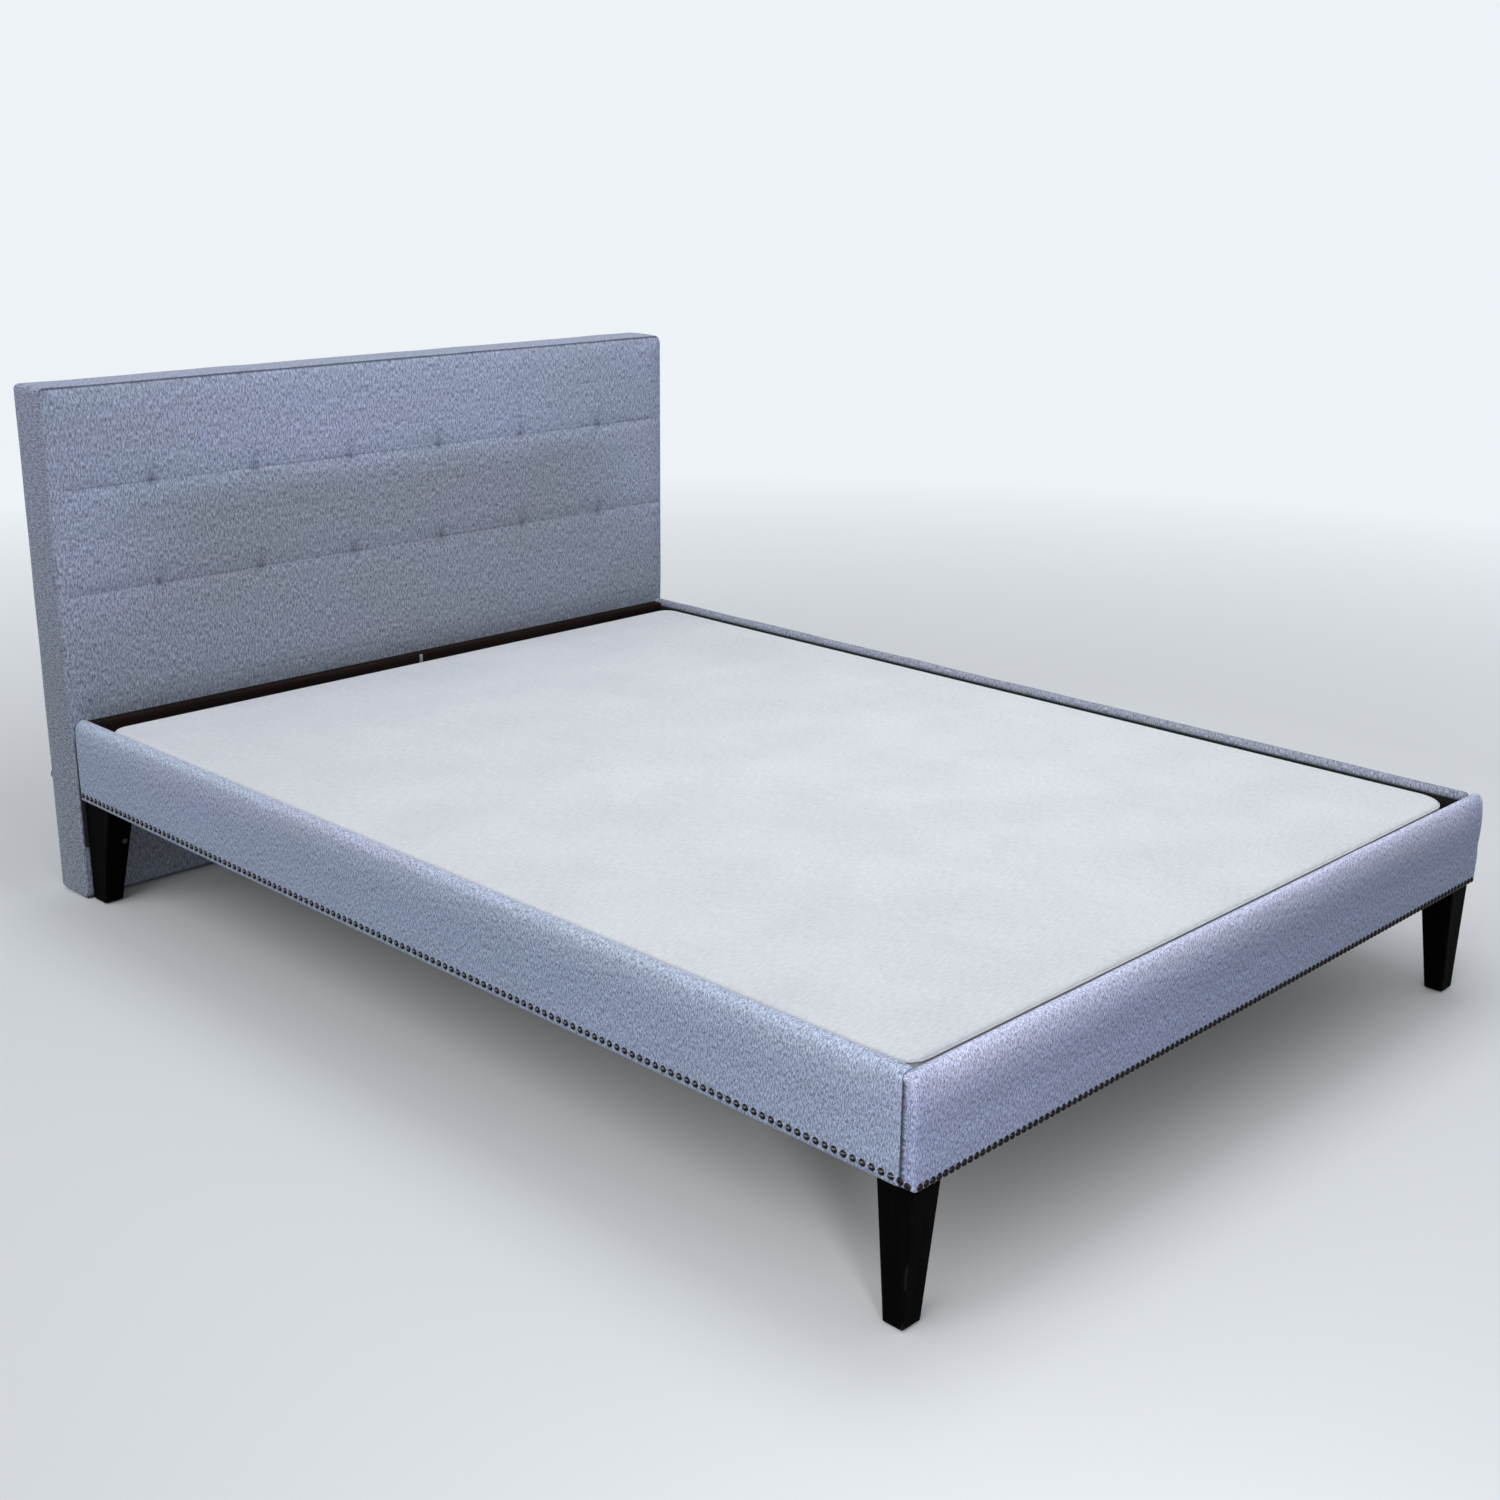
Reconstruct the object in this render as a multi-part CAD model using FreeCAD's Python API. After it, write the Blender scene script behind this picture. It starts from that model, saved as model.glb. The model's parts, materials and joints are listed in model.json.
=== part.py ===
# Upholstered headboard bed, queen size, as the separate pieces it is built from.
#
# Frame: millimetres, +Z up, +Y towards the headboard, +X to the right of someone
# standing at the foot and looking at the headboard. The origin is on the floor, in
# the middle of the bed's footprint. Each piece is written to parts/NODE.step.
import FreeCAD, Part
import math
import os

Vector = FreeCAD.Vector

# ---------------------------------------------------------------- driving sizes
# Headboard
headboard_overhang = 6.0
headboard_height = 1037.0
headboard_thickness = 103.0
headboard_corner_radius = 6.0
headboard_front_foam = 10.0
headboard_edge_foam = 6.0
headboard_stile_width = 55.0
headboard_rail_width = 22.0
headboard_panel_thickness = 12.0
headboard_back_thickness = 4.0
headboard_back_hem = 25.0
headboard_glide_height = 3.0
headboard_glide_width = 60.0
crown_depth = 14.0
crown_slope = 40.0
crown_margin = 10.0
crown_above_rail = 38.0

# Tufting of the headboard's crown
tuft_columns = 6
tuft_pitch = 236.0
tuft_row_heights = (632.0, 840.0)
tie_radius = 1.5
tie_disc_radius = 8.0
tie_disc_thickness = 2.5

# Rubber bumpers behind the headboard
bumper_radius = 15.0
bumper_depth = 8.0
bumper_inset = 18.0
bumper_height = 245.0

# Upholstered rails
bed_width = 1600.0
rail_length = 2182.0
rail_top = 382.0
rail_height = 167.0
rail_board_thickness = 18.0
rail_foam = 5.0
rail_top_foam = 10.0
rail_edge_radius = 9.0
rail_inner_hem = 12.0
lining_thickness = 1.0
cover_thickness = 1.5
headboard_cover_thickness = 2.0

# Nailheads along the bottom of the rails
nail_radius = 5.7
nail_rise = 3.6
nail_shank_radius = 0.9
nail_shank_length = 12.0
side_nail_pitch = 16.5
side_nail_height = 13.0
foot_nail_pitch = 13.0
foot_nail_height = 7.0
cap_nails = ((9.5, 9.0), (22.0, 12.0))

# Head end of the frame
bracket_thickness = 4.0
bracket_width = 65.0
bracket_drop = 101.0
bracket_below_bar = 42.0
crossbar_thickness = 27.0
crossbar_below_rail = 5.0
crossbar_edge_radius = 2.0
bolt_radius = 4.0
bolt_head_radius = 5.5
bolt_head_height = 4.0
bolt_clearance = 0.2
bolt_grip = 40.0
leg_bolt_drop = 78.0
bar_bolt_drop = 77.0
bracket_bolt_inset = 46.0

# Ledgers, slats and centre beam
ledger_width = 30.0
ledger_height = 32.0
slat_count = 4
slat_width = 90.0
slat_thickness = 18.0
slat_end_gap = 2.5
beam_width = 44.0
beam_height = 60.0
hanger_plate = 2.0
hanger_reach = 40.0
hanger_flange = 22.0
hanger_clearance = 0.3
hanger_tongue_width = 8.0
hanger_tongue_offset = 28.0
corner_block_size = 60.0
corner_block_height = 49.0

# Legs
leg_top_width = 58.0
leg_top_depth = 62.0
leg_foot_width = 38.0
leg_foot_depth = 35.0
head_leg_top_depth = 90.0
head_leg_foot_width = 40.0
head_leg_foot_depth = 46.0
leg_top_inset = 2.0
leg_side_inset = 7.5
leg_foot_inset = 15.5
right_leg_shift = 13.0
leg_edge_radius = 2.0
leg_glide_radius = 13.0
leg_glide_height = 3.0
hanger_bolt_up = 40.0
hanger_bolt_down = 45.0
centre_leg_count = 2
centre_leg_width = 50.0
centre_leg_lift = 30.0

# Levelling feet of the centre legs
stem_radius = 5.0
stem_length = 78.0
stem_clearance = 0.3
stem_hex_width = 14.0
stem_hex_height = 6.0
pad_radius = 22.0
pad_thickness = 6.0
pad_collar_radius = 9.0
pad_collar_height = 6.0

# Foundation that lies in the frame
foundation_side_gap = 12.0
foundation_height = 105.5
foundation_head_gap = 36.0
foundation_foot_gap = 17.0
foundation_corner_radius = 60.0
foundation_block_size = 45.0
foundation_rail_thickness = 20.0
foundation_pad_thickness = 10.5
foundation_board_thickness = 3.0
foundation_slat_thickness = 12.0
foundation_slat_width = 60.0
foundation_slat_count = 9
dust_cover_thickness = 1.0

# Wood screws
screw_radius = 2.0
screw_head_radius = 4.0
screw_head_height = 2.0
screw_length = 42.0
ledger_screw_count = 6

# ------------------------------------------------------------- derived positions
overall_length = nail_rise + rail_length + headboard_thickness + bumper_depth
back_y = overall_length / 2
head_y = back_y - bumper_depth - headboard_thickness
foot_y = head_y - rail_length
side_x = bed_width / 2
headboard_width = bed_width + 2 * headboard_overhang
rail_bottom = rail_top - rail_height
crown_bottom_z = rail_top + crown_above_rail
rail_thickness = 2 * cover_thickness + rail_foam + rail_board_thickness
board_inner = rail_thickness - cover_thickness
board_bottom = rail_bottom + cover_thickness
board_top = rail_top - cover_thickness - rail_top_foam
joint_y = head_y - bracket_thickness
crossbar_top = rail_top - crossbar_below_rail
bracket_bottom = rail_bottom - bracket_drop
bracket_top = crossbar_top - bracket_below_bar
leg_bolt_height = rail_bottom - leg_bolt_drop
bar_bolt_height = crossbar_top - bar_bolt_drop
crossbar_front = joint_y - crossbar_thickness
ledger_top = board_bottom + ledger_height
slat_top = ledger_top + slat_thickness
foundation_top = slat_top + foundation_height
foundation_width = bed_width - 2 * rail_thickness - 2 * foundation_side_gap
foundation_head_y = crossbar_front - foundation_head_gap
foundation_foot_y = foot_y + rail_thickness + foundation_foot_gap
inner_x = side_x - board_inner
inner_foot_y = foot_y + board_inner
beam_bottom = ledger_top - beam_height
beam_foot_y = inner_foot_y + ledger_width
crown_y = head_y - crown_depth
core_x = headboard_width / 2 - headboard_cover_thickness - headboard_edge_foam
core_front = head_y + headboard_cover_thickness + headboard_front_foam
core_back = head_y + headboard_thickness - headboard_cover_thickness
core_bottom = headboard_glide_height + headboard_cover_thickness
core_top = headboard_height - headboard_cover_thickness - headboard_edge_foam


# ------------------------------------------------------------------ shape helpers
def box(x0, x1, y0, y1, z0, z1):
    """Box between two corners, in any order of each pair."""
    low = Vector(min(x0, x1), min(y0, y1), min(z0, z1))
    return Part.makeBox(abs(x1 - x0), abs(y1 - y0), abs(z1 - z0), low)


def rod(radius, start, end):
    """Round bar between two points."""
    a = Vector(*start)
    b = Vector(*end)
    return Part.makeCylinder(radius, (b - a).Length, a, b - a)


def fillet_where(shape, radius, test):
    """Round the straight edges whose middle point and direction pass the test."""
    picked = []
    for edge in shape.Edges:
        middle = edge.valueAt((edge.FirstParameter + edge.LastParameter) / 2)
        run = (edge.lastVertex().Point - edge.firstVertex().Point).normalize()
        if test(middle, run):
            picked.append(edge)
    return shape.makeFillet(radius, picked)


def mirrored(shape):
    """The same piece on the other side of the bed's centre plane."""
    return shape.mirror(Vector(0, 0, 0), Vector(1, 0, 0))


def frustum(low, high):
    """Solid between two four-cornered outlines."""
    wires = [Part.makePolygon([Vector(*p) for p in outline + outline[:1]]) for outline in (low, high)]
    return Part.makeLoft(wires, True, True)


def spread(first, last, count):
    """Evenly spaced places from the first to the last."""
    return [first + (last - first) * k / (count - 1) for k in range(count)]


def screw(point, direction):
    """Pan-head wood screw, its head seated at the point and its shank along the direction."""
    way = Vector(*direction)
    seat = Vector(*point)
    shank = Part.makeCylinder(screw_radius, screw_length, seat, way)
    head = Part.makeCylinder(screw_head_radius, screw_head_height, seat, way * -1)
    return shank.fuse(head).removeSplitter()


def bolt(point, direction, length):
    """Round-head bolt, its head seated at the point and its shank along the direction."""
    way = Vector(*direction)
    seat = Vector(*point)
    shank = Part.makeCylinder(bolt_radius, length, seat, way)
    head = Part.makeCylinder(bolt_head_radius, bolt_head_height, seat, way * -1)
    return shank.fuse(head).removeSplitter()


def export(node, *solids):
    """Write one node; several solids stay separate in one compound."""
    shape = solids[0] if len(solids) == 1 else Part.makeCompound(list(solids))
    shape.exportStep("parts/" + node + ".step")


# ---------------------------------------------------------------------- headboard
def crown(offset):
    """Raised front pad of the headboard, its face set back by the offset."""
    half = headboard_width / 2 - crown_margin
    top = headboard_height - crown_margin
    root = head_y + headboard_cover_thickness
    face = crown_y + offset
    slope = crown_slope
    low = [(-half, root, crown_bottom_z), (half, root, crown_bottom_z), (half, root, top), (-half, root, top)]
    high = [
        (-half + slope, face, crown_bottom_z + slope),
        (half - slope, face, crown_bottom_z + slope),
        (half - slope, face, top - slope),
        (-half + slope, face, top - slope),
    ]
    return frustum(low, high)


def headboard_hull(inset):
    """Box of the headboard, drawn in by the inset on every side."""
    half = headboard_width / 2 - inset
    return box(
        -half,
        half,
        head_y + inset,
        head_y + headboard_thickness - inset,
        headboard_glide_height + inset,
        headboard_height - inset,
    )


def tuft_points():
    """Centre of each tuft, column by column."""
    first = -tuft_pitch * (tuft_columns - 1) / 2
    return [(first + k * tuft_pitch, z) for k in range(tuft_columns) for z in tuft_row_heights]


def headboard_core(y0, y1, inset_x=0.0, z0=core_bottom, z1=core_top):
    """Slab across the headboard's wooden core."""
    return box(-core_x + inset_x, core_x - inset_x, y0, y1, z0, z1)


def make_headboard_upholstery():
    """Cover and foam of the headboard."""
    inner = headboard_hull(headboard_cover_thickness)
    inner = inner.fuse(crown(headboard_cover_thickness))
    outer = fillet_where(
        headboard_hull(0.0),
        headboard_corner_radius,
        lambda m, d: abs(d.z) > 0.9 or m.z > headboard_height - 1,
    )
    hem = headboard_back_hem
    window = box(
        -headboard_width / 2 + hem,
        headboard_width / 2 - hem,
        core_back - 1,
        back_y,
        headboard_glide_height + hem,
        headboard_height - hem,
    )
    cover = outer.fuse(crown(0.0)).cut(inner).cut(window)
    foam = inner.cut(headboard_core(core_front, core_back))
    pockets = [rod(tie_disc_radius, (x, crown_y, z), (x, core_front, z)) for x, z in tuft_points()]
    foam = foam.cut(Part.makeCompound(pockets))
    holes = bracket_bolt_holes()
    export("headboard_cover", cover.cut(holes))
    export("headboard_foam", foam.cut(holes))


def make_headboard_frame():
    """Timber frame, front panel and back panel inside the headboard."""
    frame_front = core_front + headboard_panel_thickness
    frame_back = core_back - headboard_back_thickness
    rail_x = core_x - headboard_stile_width
    stile = box(-core_x, -rail_x, frame_front, frame_back, core_bottom, core_top)
    middle = sum(tuft_row_heights) / 2
    starts = {
        "headboard_bottom_rail": core_bottom,
        "headboard_middle_rail": middle - headboard_rail_width / 2,
        "headboard_top_rail": core_top - headboard_rail_width,
    }
    export("headboard_stile_left", stile)
    export("headboard_stile_right", mirrored(stile))
    for node, z in starts.items():
        export(node, box(-rail_x, rail_x, frame_front, frame_back, z, z + headboard_rail_width))
    panel = headboard_core(core_front, frame_front)
    tie_holes = [rod(tie_radius, (x, core_front, z), (x, frame_front, z)) for x, z in tuft_points()]
    panel = panel.cut(Part.makeCompound(tie_holes)).cut(bracket_bolt_holes())
    export("headboard_front_panel", panel)
    export("headboard_back_panel", headboard_core(frame_back, core_back))


def make_tuft_ties():
    """Twine ties of the tufts, each with a disc in the foam and one behind the panel."""
    ties = []
    panel_back = core_front + headboard_panel_thickness
    for x, z in tuft_points():
        front = head_y - tie_disc_thickness
        cord = rod(tie_radius, (x, front, z), (x, panel_back, z))
        button = rod(tie_disc_radius, (x, front, z), (x, head_y, z))
        washer = rod(tie_disc_radius, (x, panel_back, z), (x, panel_back + tie_disc_thickness, z))
        ties.append(cord.fuse([button, washer]).removeSplitter())
    export("headboard_tuft_ties", *ties)


def make_headboard_feet():
    """Glides under the headboard and rubber bumpers behind it."""
    half = headboard_width / 2
    edge = headboard_corner_radius
    glide = box(
        -half + edge,
        -half + edge + headboard_glide_width,
        head_y + edge,
        head_y + headboard_thickness - edge,
        0,
        headboard_glide_height,
    )
    export("headboard_glides", glide, mirrored(glide))
    x = -half + bumper_inset
    y = head_y + headboard_thickness
    bumper = rod(bumper_radius, (x, y, bumper_height), (x, y + bumper_depth, bumper_height))
    export("headboard_wall_bumpers", bumper, mirrored(bumper))


# ---------------------------------------------------------------------- head joint
def bracket_bolt_x():
    """Distance of the bracket bolts from the centre plane."""
    return side_x - bracket_bolt_inset


def head_leg_front(z):
    """Front face of a head leg at a height above the floor."""
    top = joint_y - head_leg_top_depth
    foot = joint_y - head_leg_foot_depth
    return foot + (top - foot) * (z - leg_glide_height) / (rail_bottom - leg_glide_height)


def bracket_bolt_seats():
    """Seat of each bracket bolt's head: in front of a head leg, or of the crossbar."""
    seats = []
    for side in (-1, 1):
        x = side * bracket_bolt_x()
        seats.append((x, head_leg_front(leg_bolt_height), leg_bolt_height))
        seats.append((x, crossbar_front, bar_bolt_height))
    return seats


def bracket_bolt_holes():
    """Clearance holes for the bracket bolts, from the seats to the headboard's panel."""
    radius = bolt_radius + bolt_clearance
    end_y = core_front + headboard_panel_thickness
    return Part.makeCompound([rod(radius, seat, (seat[0], end_y, seat[2])) for seat in bracket_bolt_seats()])


def make_head_joint():
    """Steel plates between headboard and frame, their bolts and the crossbar."""
    plate = box(-side_x, -side_x + bracket_width, joint_y, head_y, bracket_bottom, bracket_top)
    holes = bracket_bolt_holes()
    export("head_brackets", plate.cut(holes), mirrored(plate).cut(holes))
    bar_x = inner_x - cover_thickness
    bar = box(-bar_x, bar_x, crossbar_front, joint_y, rail_bottom, crossbar_top)
    bar = fillet_where(bar, crossbar_edge_radius, lambda m, d: abs(d.x) > 0.9 and m.z > crossbar_top - 1)
    for way in (-1, 1):
        bar = bar.cut(hanger_bolt_hole(way * bracket_bolt_x(), (crossbar_front + joint_y) / 2))
    export("head_crossbar", bar.cut(holes))
    bolts = []
    for seat in bracket_bolt_seats():
        end_y = core_front + headboard_panel_thickness + bolt_grip
        bolts.append(bolt(seat, (0, 1, 0), end_y - seat[1]))
    export("head_bracket_bolts", *bolts)


# --------------------------------------------------------------------- rails
def rail_hull(length, inset, radius, end_inset, round_ends):
    """Rounded bar of a rail along +X, its outer face towards -Y, drawn in by the inset."""
    shape = box(
        end_inset, length - end_inset, inset, rail_thickness - inset, rail_bottom + inset, rail_top - inset
    )

    def wanted(middle, run):
        along_top = abs(run.x) > 0.9 and middle.z > rail_top - inset - 1
        outer_upright = abs(run.z) > 0.9 and middle.y < inset + 1
        end_top = abs(run.y) > 0.9 and middle.z > rail_top - inset - 1
        return along_top or (round_ends and (outer_upright or end_top))

    return fillet_where(shape, radius, wanted)


def rail_pieces(length, round_ends):
    """Board, foam, cover and lining of a rail whose length runs along +X from the origin."""
    skin = cover_thickness
    end_skin = skin if round_ends else 0.0
    end_foam = skin + rail_foam if round_ends else 0.0
    outer = rail_hull(length, 0.0, rail_edge_radius, 0.0, round_ends)
    inner = rail_hull(length, skin, rail_edge_radius - skin, end_skin, round_ends)
    open_back = box(end_skin, length - end_skin, board_inner, rail_thickness, 0, rail_top - rail_inner_hem)
    open_bottom = box(end_skin, length - end_skin, rail_thickness / 2, rail_thickness, 0, board_bottom)
    cover = outer.cut(inner).cut(open_back).cut(open_bottom)
    outer_face = skin + rail_foam
    board = box(end_foam, length - end_foam, outer_face, board_inner, board_bottom, board_top)
    foam = inner.cut(board)
    lining_back = board_inner + lining_thickness
    lining_end = rail_thickness if round_ends else 0.0
    hem_low = rail_top - rail_inner_hem
    lining = box(lining_end, length - lining_end, board_inner, lining_back, slat_top, hem_low)
    return board, foam, cover, lining


def nail():
    """Domed nail with its axis along +Z and its head's rim at height zero."""
    ball = (nail_radius**2 + nail_rise**2) / (2 * nail_rise)
    bend = math.asin(nail_radius / ball) / 2
    top = Vector(0, 0, nail_rise)
    middle = Vector(ball * math.sin(bend), 0, nail_rise - ball * (1 - math.cos(bend)))
    rim = Vector(nail_radius, 0, 0)
    corners = [
        rim,
        Vector(nail_shank_radius, 0, 0),
        Vector(nail_shank_radius, 0, -nail_shank_length),
        Vector(0, 0, -nail_shank_length),
        top,
    ]
    edges = [Part.Arc(top, middle, rim).toShape()]
    edges += [Part.makeLine(a, b) for a, b in zip(corners, corners[1:])]
    face = Part.Face(Part.Wire(edges))
    return face.revolve(Vector(0, 0, 0), Vector(0, 0, 1), 360)


def nail_row(length, pitch, height):
    """Row of nails along the outer face of a rail that runs along +X."""
    count = round((length - 2 * nail_radius) / pitch)
    start = (length - (count - 1) * pitch) / 2
    out = FreeCAD.Rotation(Vector(0, 0, 1), Vector(0, -1, 0))
    master = nail()
    row = []
    for k in range(count):
        place = Vector(start + k * pitch, 0, rail_bottom + height)
        row.append(master.copy())
        row[-1].Placement = FreeCAD.Placement(place, out)
    return row


def end_nails():
    """Nails on the two ends of the foot rail, each at its depth and height on the end."""
    nails = []
    for x, way in ((0.0, -1), (bed_width, 1)):
        out = FreeCAD.Rotation(Vector(0, 0, 1), Vector(way, 0, 0))
        for depth, height in cap_nails:
            head = nail()
            head.Placement = FreeCAD.Placement(Vector(x, depth, rail_bottom + height), out)
            nails.append(head)
    return nails


def placed(shape, x, y, turn):
    """Copy of a piece turned about Z by degrees and moved to a place."""
    copy = shape.copy()
    copy.rotate(Vector(0, 0, 0), Vector(0, 0, 1), turn)
    copy.translate(Vector(x, y, 0))
    return copy


def export_rail(name, pieces, nails, x, y, turn):
    """Write the board, foam, cover, lining and nails of one rail."""
    for kind, piece in zip(("board", "foam", "cover", "lining"), pieces):
        export(name + "_" + kind, placed(piece, x, y, turn))
    export(name + "_nails", *[placed(n, x, y, turn) for n in nails])


def make_rails():
    """Two side rails and the foot rail."""
    side_length = joint_y - (foot_y + rail_thickness)
    side = rail_pieces(side_length, False)
    side_nails = nail_row(side_length, side_nail_pitch, side_nail_height)
    export_rail("side_rail_left", side, side_nails, -side_x, joint_y, -90)
    export_rail("side_rail_right", side, side_nails, side_x, joint_y - side_length, 90)
    foot = rail_pieces(bed_width, True)
    foot_nails = nail_row(bed_width, foot_nail_pitch, foot_nail_height) + end_nails()
    export_rail("foot_rail", foot, foot_nails, -side_x, foot_y, 0)


# -------------------------------------------------------------- ledgers and slats
def block_inner_y():
    """Head side of the corner blocks at the foot."""
    return inner_foot_y + corner_block_size


def make_ledgers():
    """Ledgers along the side rails and the foot rail, and the blocks in the foot corners."""
    side = box(-inner_x, -inner_x + ledger_width, block_inner_y(), crossbar_front, board_bottom, ledger_top)
    export("side_ledger_left", side)
    export("side_ledger_right", mirrored(side))
    block_x = inner_x - corner_block_size
    foot = box(-block_x, block_x, inner_foot_y, beam_foot_y, board_bottom, ledger_top)
    export("foot_ledger", foot)
    top = rail_bottom + corner_block_height
    block = box(-inner_x, -block_x, inner_foot_y, block_inner_y(), rail_bottom, top)
    block = block.cut(hanger_bolt_hole(*foot_bolt_place()))
    export("foot_corner_blocks", block, mirrored(block))


def slat_places():
    """Middle of each slat along the bed."""
    margin = slat_width / 2 + ledger_width
    return spread(block_inner_y() + margin, crossbar_front - margin, slat_count)


def make_slats():
    """Slats that lie on the ledgers and the centre beam."""
    reach = inner_x - slat_end_gap
    half = slat_width / 2
    for k, y in enumerate(slat_places()):
        export("slat_%d" % (k + 1), box(-reach, reach, y - half, y + half, ledger_top, slat_top))


def beam_hanger(y, way):
    """Steel cup for one end of the beam, its back plate on the plane y and opening along way."""
    half = beam_width / 2 + hanger_clearance
    out = half + hanger_plate
    end = y + way * hanger_reach
    low = beam_bottom - hanger_plate
    high = low + hanger_reach
    back = box(-out - hanger_flange, out + hanger_flange, y, y + way * hanger_plate, low, ledger_top)
    floor = box(-out, out, y, end, low, beam_bottom)
    cheek = box(-out, -half, y, end, low, high)
    return back.fuse([floor, cheek, mirrored(cheek)]).removeSplitter()


def make_beam():
    """Centre beam between the crossbar and the foot ledger, and its two steel hangers."""
    foot_end = beam_foot_y + hanger_plate
    head_end = crossbar_front - hanger_plate
    half = beam_width / 2
    beam = box(-half, half, foot_end, head_end, beam_bottom, ledger_top)
    for y in centre_leg_places():
        beam = beam.cut(hanger_bolt_hole(0, y, beam_bottom))
    export("centre_beam", beam)
    foot_hanger = beam_hanger(beam_foot_y, 1)
    tongue_low = hanger_tongue_offset - hanger_tongue_width / 2
    tongue = box(
        tongue_low, tongue_low + hanger_tongue_width, crossbar_front, head_end, ledger_top, crossbar_top - 1
    )
    head_hanger = beam_hanger(crossbar_front, -1).fuse(tongue).removeSplitter()
    export("beam_hangers", foot_hanger, head_hanger)


# --------------------------------------------------------------------------- legs
def hanger_bolt(x, y, joint_z, radius):
    """Upright bar across the joint between a leg and the block, bar or beam above it."""
    return rod(radius, (x, y, joint_z - hanger_bolt_down), (x, y, joint_z + hanger_bolt_up))


def hanger_bolt_hole(x, y, joint_z=rail_bottom):
    """Hole for the bolt that holds a leg up to the piece above it."""
    return hanger_bolt(x, y, joint_z, bolt_radius + bolt_clearance)


def foot_bolt_place():
    """Place of the left foot leg's bolt."""
    return -inner_x + leg_top_width / 3, inner_foot_y + leg_top_depth / 3


def head_bolt_place():
    """Place of the left head leg's bolt."""
    return -bracket_bolt_x(), (crossbar_front + joint_y) / 2


def tapered_leg(top, foot):
    """Square leg with eased edges between two rectangles, each given as x0, x1, y0, y1."""
    outlines = []
    for (x0, x1, y0, y1), z in ((foot, leg_glide_height), (top, rail_bottom)):
        outlines.append([(x0, y0, z), (x1, y0, z), (x1, y1, z), (x0, y1, z)])
    return fillet_where(frustum(*outlines), leg_edge_radius, lambda m, d: abs(d.z) > 0.9)


def foot_leg(shift):
    """Left leg at the foot, its top moved towards the middle of the bed by the shift."""
    x_top = -side_x + leg_top_inset + shift
    y_top = foot_y + leg_top_inset
    x_foot = -side_x + leg_side_inset
    y_foot = foot_y + leg_foot_inset
    leg = tapered_leg(
        (x_top, x_top + leg_top_width, y_top, y_top + leg_top_depth),
        (x_foot, x_foot + leg_foot_width, y_foot, y_foot + leg_foot_depth),
    )
    return leg.cut(hanger_bolt_hole(*foot_bolt_place()))


def make_legs():
    """Four tapered legs, the bolts that hold them and the glides under them."""
    x_foot = -side_x + leg_side_inset
    y_foot = foot_y + leg_foot_inset
    head_leg = tapered_leg(
        (x_foot, x_foot + leg_top_width, joint_y - head_leg_top_depth, joint_y),
        (x_foot, x_foot + head_leg_foot_width, joint_y - head_leg_foot_depth, joint_y),
    )
    head_leg = head_leg.cut(hanger_bolt_hole(*head_bolt_place())).cut(bracket_bolt_holes())
    bolts = []
    for x, y in (foot_bolt_place(), head_bolt_place()):
        bolts.append(hanger_bolt(x, y, rail_bottom, bolt_radius))
    glides = []
    foot_centre = (x_foot + leg_foot_width / 2, y_foot + leg_foot_depth / 2)
    head_centre = (x_foot + head_leg_foot_width / 2, joint_y - head_leg_foot_depth / 2)
    for x, y in (foot_centre, head_centre):
        glides.append(rod(leg_glide_radius, (x, y, 0), (x, y, leg_glide_height)))
    export("foot_leg_left", foot_leg(0.0))
    export("foot_leg_right", mirrored(foot_leg(right_leg_shift)))
    export("head_leg_left", head_leg)
    export("head_leg_right", mirrored(head_leg))
    centre_bolts = [hanger_bolt(0, y, beam_bottom, bolt_radius) for y in centre_leg_places()]
    export("leg_hanger_bolts", *bolts, *[mirrored(b) for b in bolts], *centre_bolts)
    export("leg_glides", *glides, *[mirrored(g) for g in glides])


def centre_leg_places():
    """Places of the centre legs along the beam."""
    step = (crossbar_front - beam_foot_y) / (centre_leg_count + 1)
    return [beam_foot_y + step * (k + 1) for k in range(centre_leg_count)]


def leveller_stem(y):
    """Threaded stem of a levelling foot, with the hexagon that a spanner turns."""
    low = pad_thickness + stem_clearance
    shaft = rod(stem_radius, (0, y, low), (0, y, low + stem_length))
    hex_low = pad_thickness + pad_collar_height + stem_clearance
    corner = stem_hex_width / math.sqrt(3)
    turns = [math.radians(60 * k) for k in range(7)]
    outline = [Vector(corner * math.cos(a), y + corner * math.sin(a), hex_low) for a in turns]
    hexagon = Part.Face(Part.makePolygon(outline)).extrude(Vector(0, 0, stem_hex_height))
    return shaft.fuse(hexagon).removeSplitter()


def leveller_pad(y):
    """Round pad of a levelling foot, with the collar that its stem turns in."""
    disc = rod(pad_radius, (0, y, 0), (0, y, pad_thickness))
    top = pad_thickness + pad_collar_height
    collar = rod(pad_collar_radius, (0, y, pad_thickness), (0, y, top))
    socket = rod(stem_radius + stem_clearance, (0, y, pad_thickness), (0, y, top))
    return disc.fuse(collar).cut(socket).removeSplitter()


def make_centre_legs():
    """Centre legs with their levelling feet."""
    half = centre_leg_width / 2
    for name, y in zip(("foot", "head"), centre_leg_places()):
        post = box(-half, half, y - half, y + half, centre_leg_lift, beam_bottom)
        stem_top = pad_thickness + stem_clearance + stem_length
        bore = rod(stem_radius + stem_clearance, (0, y, centre_leg_lift), (0, y, stem_top + stem_clearance))
        post = post.cut(bore).cut(hanger_bolt_hole(0, y, beam_bottom))
        export("centre_leg_" + name, post)
        export("leveller_stem_" + name, leveller_stem(y))
        export("leveller_pad_" + name, leveller_pad(y))


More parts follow.
